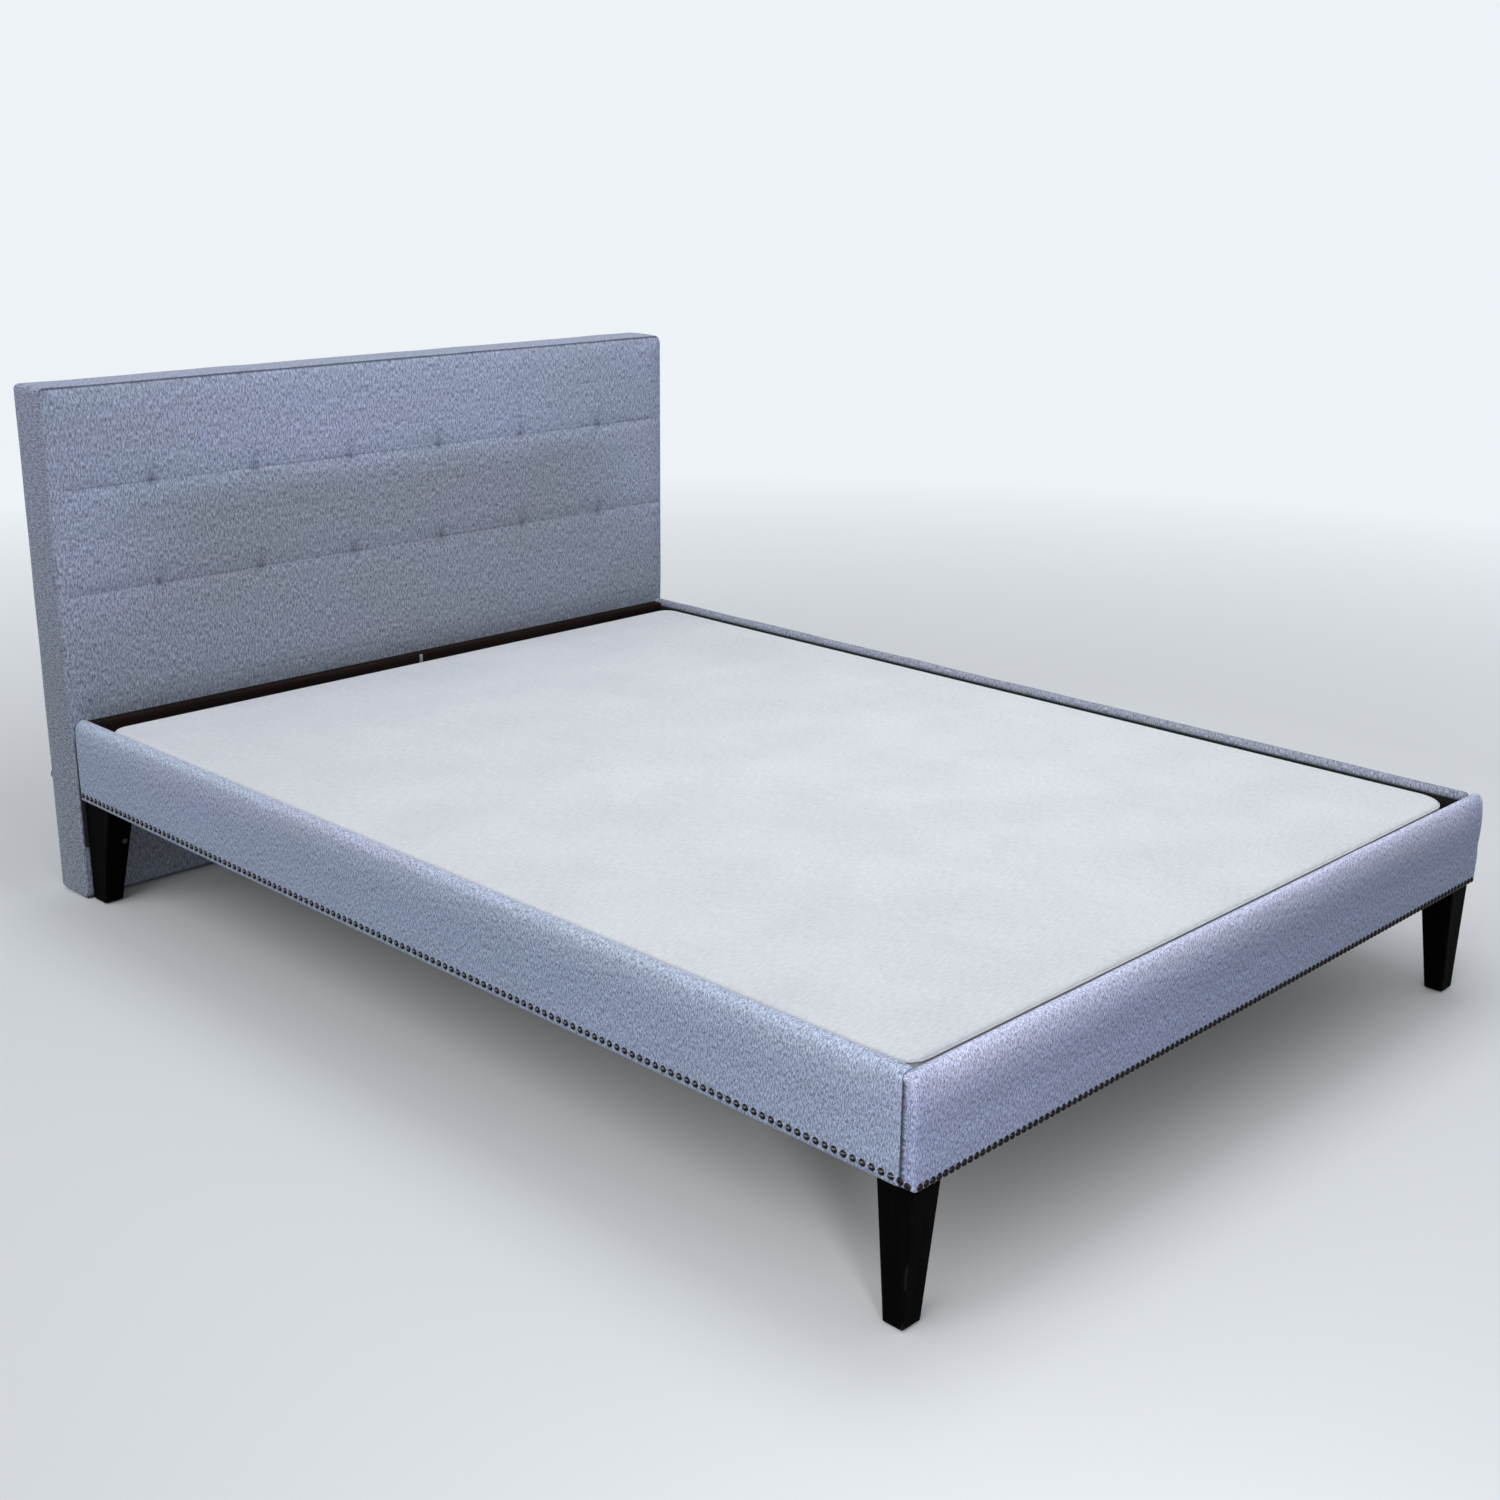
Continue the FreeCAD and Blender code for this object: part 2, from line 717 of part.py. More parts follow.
# --------------------------------------------------------------------- foundation
def foundation_slab(inset, z0, z1):
    """Slab with the foundation's rounded corners, drawn in by the inset."""
    half = foundation_width / 2 - inset
    slab = box(-half, half, foundation_foot_y + inset, foundation_head_y - inset, z0, z1)
    return fillet_where(slab, foundation_corner_radius - inset, lambda m, d: abs(d.z) > 0.9)


def make_foundation():
    """Low foundation that lies on the slats: timber frame, slats, board, pad and ticking."""
    skin = cover_thickness
    frame_low = slat_top + dust_cover_thickness
    pad_top = foundation_top - skin
    board_high = pad_top - foundation_pad_thickness
    slats_high = board_high - foundation_board_thickness
    frame_high = slats_high - foundation_slat_thickness
    whole = foundation_slab(0.0, slat_top, foundation_top)
    export("foundation_ticking", whole.cut(foundation_slab(skin, slat_top, pad_top)))
    export("foundation_dust_cover", foundation_slab(skin, slat_top, frame_low))
    export("foundation_pad", foundation_slab(skin, board_high, pad_top))
    export("foundation_top_board", foundation_slab(skin, slats_high, board_high))
    half = foundation_width / 2
    thick = foundation_rail_thickness + skin
    outline = foundation_slab(skin, frame_low, frame_high)
    side = box(-half, -half + thick, foundation_foot_y, foundation_head_y, frame_low, frame_high)
    side = side.common(outline)
    export("foundation_side_rail_left", side)
    export("foundation_side_rail_right", mirrored(side))
    for name, y, way in (("foot", foundation_foot_y, 1), ("head", foundation_head_y, -1)):
        rail = box(-half + thick, half - thick, y, y + way * thick, frame_low, frame_high)
        export("foundation_%s_rail" % name, rail.common(outline))
    block_x = half - thick - foundation_block_size
    blocks = []
    for y, way in ((foundation_foot_y, 1), (foundation_head_y, -1)):
        start = y + way * thick
        end = start + way * foundation_block_size
        block = box(-half + thick, -block_x, start, end, frame_low, frame_high)
        blocks += [block, mirrored(block)]
    export("foundation_corner_blocks", *blocks)
    outline = foundation_slab(skin, frame_high, slats_high)
    wide = foundation_slat_width
    places = spread(foundation_foot_y + wide / 2, foundation_head_y - wide / 2, foundation_slat_count)
    slats = [box(-half, half, y - wide / 2, y + wide / 2, frame_high, slats_high).common(outline) for y in places]
    export("foundation_cross_slats", *slats)


# ------------------------------------------------------------------------- screws
def make_screws():
    """Wood screws that hold the ledgers, the corner blocks and the slats."""
    screws = []
    height = (board_bottom + ledger_top) / 2
    ends = 2 * ledger_width
    for y in spread(block_inner_y() + ends, crossbar_front - ends, ledger_screw_count):
        for side in (-1, 1):
            screws.append(screw((side * (inner_x - ledger_width), y, height), (side, 0, 0)))
    block_x = inner_x - corner_block_size
    for x in spread(-block_x + ends, block_x - ends, ledger_screw_count):
        screws.append(screw((x, beam_foot_y, height), (0, -1, 0)))
    block_low = rail_bottom + corner_block_height / 4
    block_high = rail_bottom + corner_block_height * 3 / 4
    middle = corner_block_size * 3 / 4
    for side in (-1, 1):
        screws.append(screw((side * block_x, inner_foot_y + middle, block_low), (side, 0, 0)))
        screws.append(screw((side * (inner_x - middle), block_inner_y(), block_high), (0, -1, 0)))
    for y in slat_places():
        for x in (-inner_x + ledger_width / 2, 0.0, inner_x - ledger_width / 2):
            screws.append(screw((x, y, slat_top - screw_head_height), (0, 0, -1)))
    export("frame_screws", *screws)


def main():
    os.makedirs("parts", exist_ok=True)
    make_headboard_upholstery()
    make_headboard_frame()
    make_tuft_ties()
    make_headboard_feet()
    make_head_joint()
    make_rails()
    make_ledgers()
    make_slats()
    make_beam()
    make_legs()
    make_centre_legs()
    make_foundation()
    make_screws()


main()
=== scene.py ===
# %% [markdown]
# # Upholstered headboard bed
#
# This lesson dresses a bed whose construction is already modelled: boards, brackets, legs,
# nails and slats come in from the CAD frame. What is left to make is what a CAD solid can't
# hold: stretched fabric, tufts, seams, ticking and finishes.
#
# Everything is in metres, +Z up, +Y towards the headboard.

# %% Load the frame
import json
import math

import bmesh
import bpy
import numpy as np
from mathutils import Matrix, Vector


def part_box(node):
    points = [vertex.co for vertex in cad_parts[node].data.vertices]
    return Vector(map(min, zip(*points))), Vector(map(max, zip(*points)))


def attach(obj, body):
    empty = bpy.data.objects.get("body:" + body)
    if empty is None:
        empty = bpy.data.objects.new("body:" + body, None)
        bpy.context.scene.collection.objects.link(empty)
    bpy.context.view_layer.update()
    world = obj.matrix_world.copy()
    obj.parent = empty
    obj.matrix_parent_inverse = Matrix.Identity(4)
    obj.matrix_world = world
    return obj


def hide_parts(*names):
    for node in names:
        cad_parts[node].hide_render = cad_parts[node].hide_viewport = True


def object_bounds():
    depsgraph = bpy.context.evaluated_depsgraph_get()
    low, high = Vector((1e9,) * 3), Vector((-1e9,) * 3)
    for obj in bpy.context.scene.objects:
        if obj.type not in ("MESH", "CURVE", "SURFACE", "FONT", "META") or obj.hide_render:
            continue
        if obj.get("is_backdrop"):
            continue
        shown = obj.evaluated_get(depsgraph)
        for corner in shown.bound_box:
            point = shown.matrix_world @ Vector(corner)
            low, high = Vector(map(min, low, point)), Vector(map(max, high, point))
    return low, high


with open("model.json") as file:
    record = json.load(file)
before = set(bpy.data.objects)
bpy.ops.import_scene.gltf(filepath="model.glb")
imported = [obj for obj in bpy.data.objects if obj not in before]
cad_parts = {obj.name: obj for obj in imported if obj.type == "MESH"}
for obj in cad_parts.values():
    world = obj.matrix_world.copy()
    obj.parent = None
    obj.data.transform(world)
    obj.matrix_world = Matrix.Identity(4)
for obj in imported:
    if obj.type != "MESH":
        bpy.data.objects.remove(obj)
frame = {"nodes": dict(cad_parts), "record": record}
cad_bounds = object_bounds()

scene = bpy.context.scene
nodes = frame["nodes"]

# %% [markdown]
# ## Sizes
#
# Every place below is read from the boxes of the CAD nodes, so a change of the frame moves
# the fabric with it. Only what the frame doesn't know, such as how deep a tuft is pulled, is
# a number of this script's own, and it is named where it is first used.

# %% Sizes from the frame
def corners(node):
    """Lowest and highest corner of a CAD node, as two arrays."""
    low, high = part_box(node)
    return np.array(low), np.array(high)


def positions(piece):
    """Position of each vertex of a piece, one row each."""
    flat = np.empty(len(piece.data.vertices) * 3)
    piece.data.vertices.foreach_get("co", flat)
    return flat.reshape(-1, 3)


sleeve_low, sleeve_high = corners("headboard_cover")
head_y = corners("head_brackets")[1][1]
back_y = sleeve_high[1]
foot_low, foot_high = corners("foot_rail_cover")
deck_low, deck_high = corners("foundation_ticking")
tie_low, tie_high = corners("headboard_tuft_ties")
print("headboard front at y = %.3f m, rail top at z = %.3f m" % (head_y, foot_high[2]))

# %% [markdown]
# ## From arrays to meshes
#
# A shape here is an array of points with rows and columns. Neighbouring points make one
# face, so the whole mesh is built with a few array operations and handed over in one call.
# Cloth needs a UV map in metres too: the weave is then the same size on every piece, and it
# turns with the cloth where the cloth turns.

# %% Grid helper
def grid_faces(rows, columns, closed):
    """Row and column of the four corners of each face of a grid.

    Face (i, j) joins points (i, j), (i, j+1), (i+1, j+1) and (i+1, j). A closed grid has one
    more face in each row, whose last corners lie in column 0.
    """
    i, j = np.meshgrid(np.arange(rows - 1), np.arange(columns - (not closed)), indexing="ij")
    face_i = np.stack([i, i, i + 1, i + 1], -1).reshape(-1, 4)
    face_j = np.stack([j, j + 1, j + 1, j], -1).reshape(-1, 4)
    return face_i, face_j


def sewn_mesh(name, *grids):
    """Smooth mesh object from grids of points, each with its UV map in metres.

    A grid is (points, uv, closed). On a closed grid uv has one more column than points, so
    that the map doesn't run back in the last column of faces. Points of different grids
    that lie on each other become one, as cloth does along a seam.
    """
    points, faces, maps, first = [], [], [], 0
    for grid, uv, closed in grids:
        rows, columns = grid.shape[:2]
        face_i, face_j = grid_faces(rows, columns, closed)
        points.append(grid.reshape(-1, 3))
        faces.append(first + face_i * columns + face_j % columns)
        maps.append(uv[face_i, face_j].reshape(-1, 2))
        first += rows * columns
    mesh = bpy.data.meshes.new(name)
    mesh.from_pydata(np.concatenate(points).tolist(), [], np.concatenate(faces).tolist())
    layer = mesh.uv_layers.new(name="weave")
    layer.data.foreach_set("uv", np.concatenate(maps).ravel())
    work = bmesh.new()
    work.from_mesh(mesh)
    bmesh.ops.remove_doubles(work, verts=work.verts, dist=0.00004)
    bmesh.ops.recalc_face_normals(work, faces=work.faces)
    work.to_mesh(mesh)
    work.free()
    mesh.polygons.foreach_set("use_smooth", np.ones(len(mesh.polygons), dtype=bool))
    piece = bpy.data.objects.new(name, mesh)
    scene.collection.objects.link(piece)
    return piece


def add_mask(piece, name, values):
    """Stores one number for each vertex, which a material can read by its name."""
    layer = piece.data.attributes.new(name, "FLOAT", "POINT")
    layer.data.foreach_set("value", np.asarray(values, dtype=np.float32).ravel())


# %% [markdown]
# ## Soft noise in numpy
#
# Stretched cloth is never quite flat. A few smooth waves of different length and direction,
# added up, give a gentle unevenness that is the same on every run.

# %% Ripple helper
def ripple(u, v, length, seed, count=9):
    """Sum of sine waves of about one wavelength, each with its own direction and phase.

    Wave k is sin(2 pi (u cos a + v sin a) / l + p), and the sum is divided by sqrt(count),
    so that it mostly stays between -1 and 1.
    """
    draw = np.random.default_rng(seed)
    angle = draw.uniform(0, 2 * math.pi, count)
    phase = draw.uniform(0, 2 * math.pi, count)
    lengths = length * draw.uniform(0.7, 1.6, count)
    along = u[..., None] * np.cos(angle) + v[..., None] * np.sin(angle)
    return np.sin(2 * math.pi * along / lengths + phase).sum(-1) / math.sqrt(count)


# %% [markdown]
# ## Panel and band
#
# The headboard's sleeve and the foundation's ticking are sewn alike: one flat panel, and a
# band that runs all round its edge. The panel is a grid over a rectangle with rounded
# corners, each with its own radius, and its lines are crowded where there are seams and
# tufts. Its rim is then carried on as the rows of the band.

# %% Panel and band helpers
def crowded_lines(low, high, step, fine, places, reach):
    """Coordinates from low to high, a step apart, and finer near the places.

    The density is 1 / step, lifted to 1 / fine by a bell curve at each place. The lines are
    where its running total passes whole numbers, and the nearest one is set on each place.
    """
    at = np.linspace(low, high, 6001)
    bells = np.exp(-(((at[:, None] - np.asarray(places)) / reach) ** 2)).max(1)
    density = 1 / step + (1 / fine - 1 / step) * bells
    total = np.concatenate([[0], np.cumsum((density[1:] + density[:-1]) / 2 * np.diff(at))])
    lines = np.interp(np.linspace(0, total[-1], round(total[-1]) + 1), total, at)
    lines[np.abs(lines[:, None] - np.asarray(places)).argmin(0)] = places
    return lines


def corner_radius(a, b, radii):
    """Radius of each point's own corner, given for (+a, +b), (-a, +b), (-a, -b), (+a, -b)."""
    return np.where(b > 0, np.where(a > 0, radii[0], radii[1]), np.where(a > 0, radii[3], radii[2]))


def rounded_grid(a_lines, b_lines, radii):
    """Grid over a rectangle with rounded corners.

    Inside the square of a corner, the square's own coordinates (a, b) from 0 to 1 become
    a sqrt(1 - b b / 2) and b sqrt(1 - a a / 2), which bends the square onto the quarter disc.
    """
    a, b = np.meshgrid(a_lines, b_lines)
    radius = corner_radius(a, b, radii)
    half_a, half_b = a_lines[-1], b_lines[-1]
    share_a = np.clip((np.abs(a) - half_a + radius) / radius, 0, None)
    share_b = np.clip((np.abs(b) - half_b + radius) / radius, 0, None)
    corner = (share_a > 0) & (share_b > 0)
    bent_a = half_a - radius + radius * share_a * np.sqrt(np.clip(1 - share_b**2 / 2, 0, 1))
    bent_b = half_b - radius + radius * share_b * np.sqrt(np.clip(1 - share_a**2 / 2, 0, 1))
    return np.where(corner, np.sign(a) * bent_a, a), np.where(corner, np.sign(b) * bent_b, b)


def rim_distance(a, b, half_a, half_b, radii):
    """Distance of each point from the rim of the rounded rectangle, inwards positive."""
    radius = corner_radius(a, b, radii)
    past_a = np.abs(a) - half_a + radius
    past_b = np.abs(b) - half_b + radius
    outside = np.hypot(np.clip(past_a, 0, None), np.clip(past_b, 0, None))
    return np.clip(radius - outside - np.minimum(np.maximum(past_a, past_b), 0), 0, None)


def rim_loop(grid):
    """The outermost points of a grid, once round: bottom, right, top, left."""
    return np.concatenate([grid[0, :-1], grid[:-1, -1], grid[-1, :0:-1], grid[:0:-1, 0]])


def loop_normals(loop):
    """Outward direction at each point of a closed loop: its tangent turned by 90 degrees."""
    tangent = np.roll(loop, -1, axis=0) - np.roll(loop, 1, axis=0)
    tangent /= np.linalg.norm(tangent, axis=1, keepdims=True)
    return np.stack([tangent[:, 1], -tangent[:, 0]], -1)


def loop_lengths(loop):
    """Length along a closed loop at each point, with the full length added at the end."""
    steps = np.linalg.norm(np.roll(loop, -1, axis=0) - loop, axis=1)
    return np.concatenate([[0], np.cumsum(steps)])


def pillow(distance, width, depth):
    """Height of a stuffed edge: a quarter of an ellipse that rises over the width, then flat."""
    share = np.clip(1 - distance / width, 0, 1)
    return depth * np.sqrt(1 - share * share)


# %% [markdown]
# ## Cloth that is pulled over foam
#
# Foam pushes a cover outwards everywhere except where it is held: along its seams and at its
# tufts. Blender's Cloth does this well. The seams and tufts are pinned, a light pressure
# takes the part of the foam, and the cloth is a trace longer than the shape, so that small
# folds form round the tufts. The moved points are read back, and the trial piece goes.

# %% Cloth helper
def swell(points, closed, pins, pressure, slack, cap, frames=16):
    """Points of a grid after its cloth has swollen under pressure, held where pins is true.

    No point ends further than the cap from where it began: a longer move d is shortened
    to cap tanh(|d| / cap).
    """
    rows, columns = points.shape[:2]
    face_i, face_j = grid_faces(rows, columns, closed)
    faces = face_i * columns + face_j % columns
    mesh = bpy.data.meshes.new("trial")
    mesh.from_pydata(points.reshape(-1, 3).tolist(), [], faces.tolist())
    trial = bpy.data.objects.new("trial", mesh)
    scene.collection.objects.link(trial)
    held = trial.vertex_groups.new(name="held")
    held.add(np.flatnonzero(pins.ravel()).tolist(), 1.0, "REPLACE")
    cloth = trial.modifiers.new("swell", "CLOTH")
    settings = cloth.settings
    settings.vertex_group_mass = "held"
    settings.quality = 4
    settings.mass = 0.3
    settings.tension_stiffness = 15
    settings.compression_stiffness = 15
    settings.shear_stiffness = 5
    settings.bending_stiffness = 0.5
    settings.use_pressure = True
    settings.uniform_pressure_force = pressure
    settings.shrink_min = -slack
    settings.effector_weights.gravity = 0
    cloth.collision_settings.use_collision = False
    cloth.point_cache.frame_start = 1
    cloth.point_cache.frame_end = frames
    for step in range(1, frames + 1):
        scene.frame_set(step)
    swollen = trial.evaluated_get(bpy.context.evaluated_depsgraph_get())
    end = np.empty(rows * columns * 3)
    swollen.data.vertices.foreach_get("co", end)
    move = end.reshape(points.shape) - points
    size = np.linalg.norm(move, axis=-1, keepdims=True)
    move *= cap * np.tanh(size / cap) / np.maximum(size, 1e-9)
    bpy.data.objects.remove(trial)
    bpy.data.meshes.remove(mesh)
    scene.frame_set(1)
    print("swelled by up to %.1f mm" % (1000 * np.linalg.norm(move, axis=-1).max()))
    return points + move


# %% [markdown]
# ## Headboard sleeve
#
# The front panel is one cloth with two rows of blind tufts. Each row lies on a stitched seam
# that runs from side to side, and a third seam closes the padded part just above the rails.
# The band round the edge is a strip of the same cloth. Where panel and band meet, both dip
# into the seam, which shows as a thin dark line, darkened along the top by painted shade.

# %% Headboard sleeve
seam_dip = 0.003
seam_back = 0.0025
crown_depth = head_y - sleeve_low[1] - seam_back
tuft_depth = 0.0052
seam_depth = 0.0013
seam_share = np.array([0.3, 1.0, 1.0])
tie_disc_radius = 0.008
tuft_x = np.linspace(tie_low[0] + tie_disc_radius, tie_high[0] - tie_disc_radius, 6)
tuft_z = np.array([tie_low[2] + tie_disc_radius, tie_high[2] - tie_disc_radius])
low_seam_z = foot_high[2] + 0.038
seam_z = np.array([low_seam_z, *tuft_z])
sleeve_mid_z = (sleeve_low[2] + sleeve_high[2]) / 2
sleeve_half = np.array([sleeve_high[0] - seam_dip, (sleeve_high[2] - sleeve_low[2]) / 2 - seam_dip])
sleeve_corners = (0.015, 0.007, 0.005, 0.005)
pad_heights = [*(foot_high[2] + np.array([-0.047, -0.028, -0.002])), low_seam_z, low_seam_z + 0.02]
pad_depths = [0.0021, 0.0036, 0.0066, 0.94 * crown_depth, crown_depth]


def tuft_distance(x, z, stretch):
    """Distance to the nearest tuft, with the sideways part divided by the stretch."""
    dx = (x[..., None, None] - tuft_x[:, None]) / stretch
    dz = z[..., None, None] - tuft_z
    return np.hypot(dx, dz).min((-1, -2))


def tuft_pleats(x, z):
    """Small pleats that run out from each tuft: a cosine of the angle that fades with distance.

    The distance fade is r / 12 mm times exp(1 - r / 12 mm), so a pleat is highest 12 mm out.
    """
    dx = x[..., None, None] - tuft_x[:, None]
    dz = z[..., None, None] - tuft_z
    reach = np.hypot(dx, dz) / 0.012
    turn = np.arctan2(dz, dx) * 6 + tuft_x[:, None] * 9 + tuft_z * 5
    return (np.cos(turn) * reach * np.exp(1 - reach)).sum((-1, -2))


def panel_depth(x, z, edge):
    """How far the front panel stands out from the seam plane, in metres.

    The pad is as deep as the crown down to the low seam, eases back to the crossbar, and is
    flat behind the brackets. Its edge is a pillow all round. A soft swell between the seams
    is half a sine wave, and each tuft is a wide and a narrow bell.
    """
    pad = np.interp(z, pad_heights, pad_depths)
    depth = pillow(edge, 0.012 + 0.02 * pad / crown_depth, pad)
    fields = np.array([*seam_z, sleeve_high[2]])
    for low, high in zip(fields, fields[1:]):
        share = np.clip((z - low) / (high - low), 0, 1)
        depth += 0.002 * np.sin(math.pi * share) * np.clip(edge / 0.08, 0, 1)
    wide = np.exp(-((tuft_distance(x, z, 1.5) / 0.024) ** 2))
    narrow = np.exp(-((tuft_distance(x, z, 1.2) / 0.008) ** 2))
    return depth - 0.55 * tuft_depth * wide - 0.45 * tuft_depth * narrow


def seam_groove(x, z, edge):
    """Groove along each seam: a bell curve of the height, which fades where a tuft pulls.

    The low seam is pulled less, by its share, and each groove is deeper here and there.
    """
    near = 1 - 0.9 * np.exp(-((tuft_distance(x, z, 1.2) / 0.012) ** 2))
    bells = (seam_share * np.exp(-(((z[..., None] - seam_z) / 0.0055) ** 2))).max(-1)
    uneven = 0.75 + 0.25 * ripple(x, z, 0.35, 6)
    return seam_depth * bells * near * uneven * np.clip(edge / 0.03, 0, 1)


def make_sleeve():
    """Front panel with its tufts, swollen as cloth, and the band sewn to its rim.

    The band's rows run from the front seam to the hem on the back. Its section is tucked
    into a welted seam along the top and bottom, and turned softly round the sides. The rows
    of points along the three seams are given back too, for the stitches.
    """
    x_half, z_half = sleeve_half
    x_lines = crowded_lines(-x_half, x_half, 0.0092, 0.0035, [-x_half, *tuft_x, x_half], 0.018)
    seams = seam_z - sleeve_mid_z
    z_lines = crowded_lines(-z_half, z_half, 0.0092, 0.003, [-z_half, *seams, z_half], 0.016)
    x, flat_z = rounded_grid(x_lines, z_lines, sleeve_corners)
    z = flat_z + sleeve_mid_z
    edge = rim_distance(x, flat_z, x_half, z_half, sleeve_corners)
    depth = panel_depth(x, z, edge)
    points = np.stack([x, head_y + seam_back - depth, z], -1)
    pins = (edge < 0.008) | (tuft_distance(x, z, 1.0) < 0.010)
    pins |= np.abs(z[..., None] - seam_z[1:]).min(-1) < 0.0045
    pins |= z < foot_high[2] + 0.004
    points = swell(points, False, pins, pressure=3.0, slack=0.012, cap=0.0035)
    detail = 0.0006 * ripple(x, z, 0.17, 4) + 0.0003 * ripple(x, z * 0.6, 0.06, 5)
    detail *= np.clip(edge / 0.05, 0, 1)
    detail += 0.0004 * tuft_pleats(x, z) - seam_groove(x, z, edge)
    points[..., 1] -= detail * np.clip(edge / 0.004, 0, 1)
    loop = rim_loop(np.stack([x, flat_z], -1))
    outward = loop_normals(loop)
    hem = [4.4, 4.0, 3.4, 2.6, 0.8, -1.5, -12, -24, -24.6, -24.6]
    welted = 0.001 * np.array([0, 1.7, 2.7, 3.2, 3.7, 4.3, *hem])
    turned = 0.001 * np.array([0, 0.02, 0.3, 1.2, 2.8, 4.1, *hem])
    across = np.array([0.5, 0.55, 2, 6, 18, 40, 62, 84, 95, 98.6, 100.6, 101, 101, 101, 100.4, 99.6])
    across = seam_back + (across - 0.5) * (back_y - head_y - seam_back) / 100.5
    rise = turned[:, None] + (welted - turned)[:, None] * np.abs(outward[:, 1])
    rows = loop[None] + rise[..., None] * outward[None]
    waver = 0.0006 * ripple(rows[..., 0], rows[..., 1], 0.2, 7)
    band_y = np.broadcast_to(head_y + across[:, None], waver.shape)
    band = np.stack([rows[..., 0], band_y, rows[..., 1] + sleeve_mid_z], -1)
    bulge = waver * np.clip(rise / 0.004, 0, 1)
    band[..., 0] += bulge * outward[None, :, 0]
    band[..., 2] += bulge * outward[None, :, 1]
    width = np.concatenate([[0], np.cumsum(np.hypot(np.diff(across), np.diff(turned)))])
    u, v = np.meshgrid(loop_lengths(loop), width)
    front = (points, np.stack([x, z], -1), False)
    piece = sewn_mesh("headboard_sleeve", front, (band, np.stack([u, v], -1), True))
    return piece, points[np.abs(z_lines[:, None] - seams).argmin(0)]


sleeve, seam_rows = make_sleeve()
print("sleeve faces:", len(sleeve.data.polygons))

# %% [markdown]
# ## Masks on the sleeve
#
# Two things on the sleeve depend on where they are, not on the weave. One is painted shade
# in the seams, along the top of the front's rim, in the tuft pits and above each tuft. The
# other is a darker, greyer tone below the top tufts, partly wear and partly painted shade,
# and painted shade on the sides of the band. Both are worked out from the finished mesh and
# stored as masks that the material mixes in.

# %% Sleeve masks
def sleeve_masks(piece):
    """Two masks of the sleeve: painted shade in the seams, and a darker tone.

    The seam mask is painted shade in the seams, along the top of the front's rim, in the tuft
    pits and above each tuft. The second mask is a darker tone below the top tufts towards the
    middle, partly wear and partly painted shade, and painted shade on the sides of the band.
    """
    x, y, z = positions(piece).T
    front = y < head_y + 0.004
    edge = rim_distance(x, z - sleeve_mid_z, *sleeve_half, sleeve_corners)
    # Painted shade: dark lines in the seams, on the top rim, in the tuft pits and in a pucker above each tuft.
    near = seam_share * np.exp(-(((z[:, None] - seam_z) / 0.0016) ** 2))
    lines = near.max(-1) * (edge > 0.012) * np.clip(0.27 + 0.16 * ripple(x, z, 0.3, 6), 0, 1)
    along_top = np.clip((np.abs(z - sleeve_mid_z) - sleeve_half[1] + 0.012) / 0.01, 0, 1)
    rim = np.exp(-((edge / 0.0014) ** 2)) * (np.abs(y - head_y - seam_back) < 0.0009) * along_top
    pits = 0.36 * np.exp(-((tuft_distance(x, z, 0.9) / 0.008) ** 2))
    above = np.hypot(x[:, None, None] - tuft_x[:, None], (z[:, None, None] - tuft_z - 0.01) / 2)
    pucker = 0.3 * np.exp(-((above.min((-1, -2)) / 0.011) ** 2))
    add_mask(piece, "seam", np.clip((lines + pits + pucker) * front + rim, 0, 1))
    # Darker tone below the top tufts, partly wear and partly painted shade; painted shade on the band's sides,
    # strongest low on the left.
    fall = np.clip((tuft_z[1] + 0.02 - z) / 0.09, 0, 1)
    sides = np.exp(-((x / (0.66 + 0.25 * np.clip((0.7 - z) / 0.25, 0, 1))) ** 6))
    band = ~front & (np.abs(x) > sleeve_half[0] - 0.001)
    band_shade = band * np.where(x < 0, 1.2 - 0.95 * np.clip((z - 0.3) / 0.7, 0, 1), 0.5)
    add_mask(piece, "rubbed", fall * fall * (3 - 2 * fall) * sides * front + band_shade)


sleeve_masks(sleeve)

# %% [markdown]
# ## Stitches
#
# A seam sewn through foam shows its thread as a row of short stitches in the groove. There
# are about a thousand, so each is only a small spindle of six sides. All of them are made at
# once, as one array of stitches, rings and sides.

# %% Headboard stitches
def make_stitches(pitch=0.0052, length=0.0036, radius=0.0005):
    """Stitches along the three seams: spindles whose radius follows half a circle."""
    count = round(2 * (sleeve_half[0] - 0.03) / pitch)
    centre_x = np.linspace(0.03 - sleeve_half[0], sleeve_half[0] - 0.03, count)
    starts = []
    for row in seam_rows:
        centre_y = np.interp(centre_x, row[:, 0], row[:, 1])
        starts.append(np.stack([centre_x, centre_y - 0.0001, np.full(count, row[len(row) // 2, 2])], -1))
    centres = np.concatenate(starts)
    share = np.linspace(-1, 1, 5)
    angle = np.linspace(0, 2 * math.pi, 6, endpoint=False)
    girth = radius * np.sqrt(np.clip(1 - share**2, 0.02, 1))
    shape = np.stack([
        np.broadcast_to(share[:, None] * length / 2, (5, 6)),
        girth[:, None] * np.cos(angle),
        girth[:, None] * np.sin(angle),
    ], -1)
    points = centres[:, None, None] + shape[None]
    face_i, face_j = grid_faces(5, 6, True)
    faces = face_i * 6 + face_j % 6
    faces = faces[None] + np.arange(len(centres))[:, None, None] * 30
    mesh = bpy.data.meshes.new("headboard_stitches")
    mesh.from_pydata(points.reshape(-1, 3).tolist(), [], faces.reshape(-1, 4).tolist())
    mesh.polygons.foreach_set("use_smooth", np.ones(len(mesh.polygons), dtype=bool))
    piece = bpy.data.objects.new("headboard_stitches", mesh)
    scene.collection.objects.link(piece)
    return piece


stitches = make_stitches()
print("stitches:", len(stitches.data.polygons) // 24)

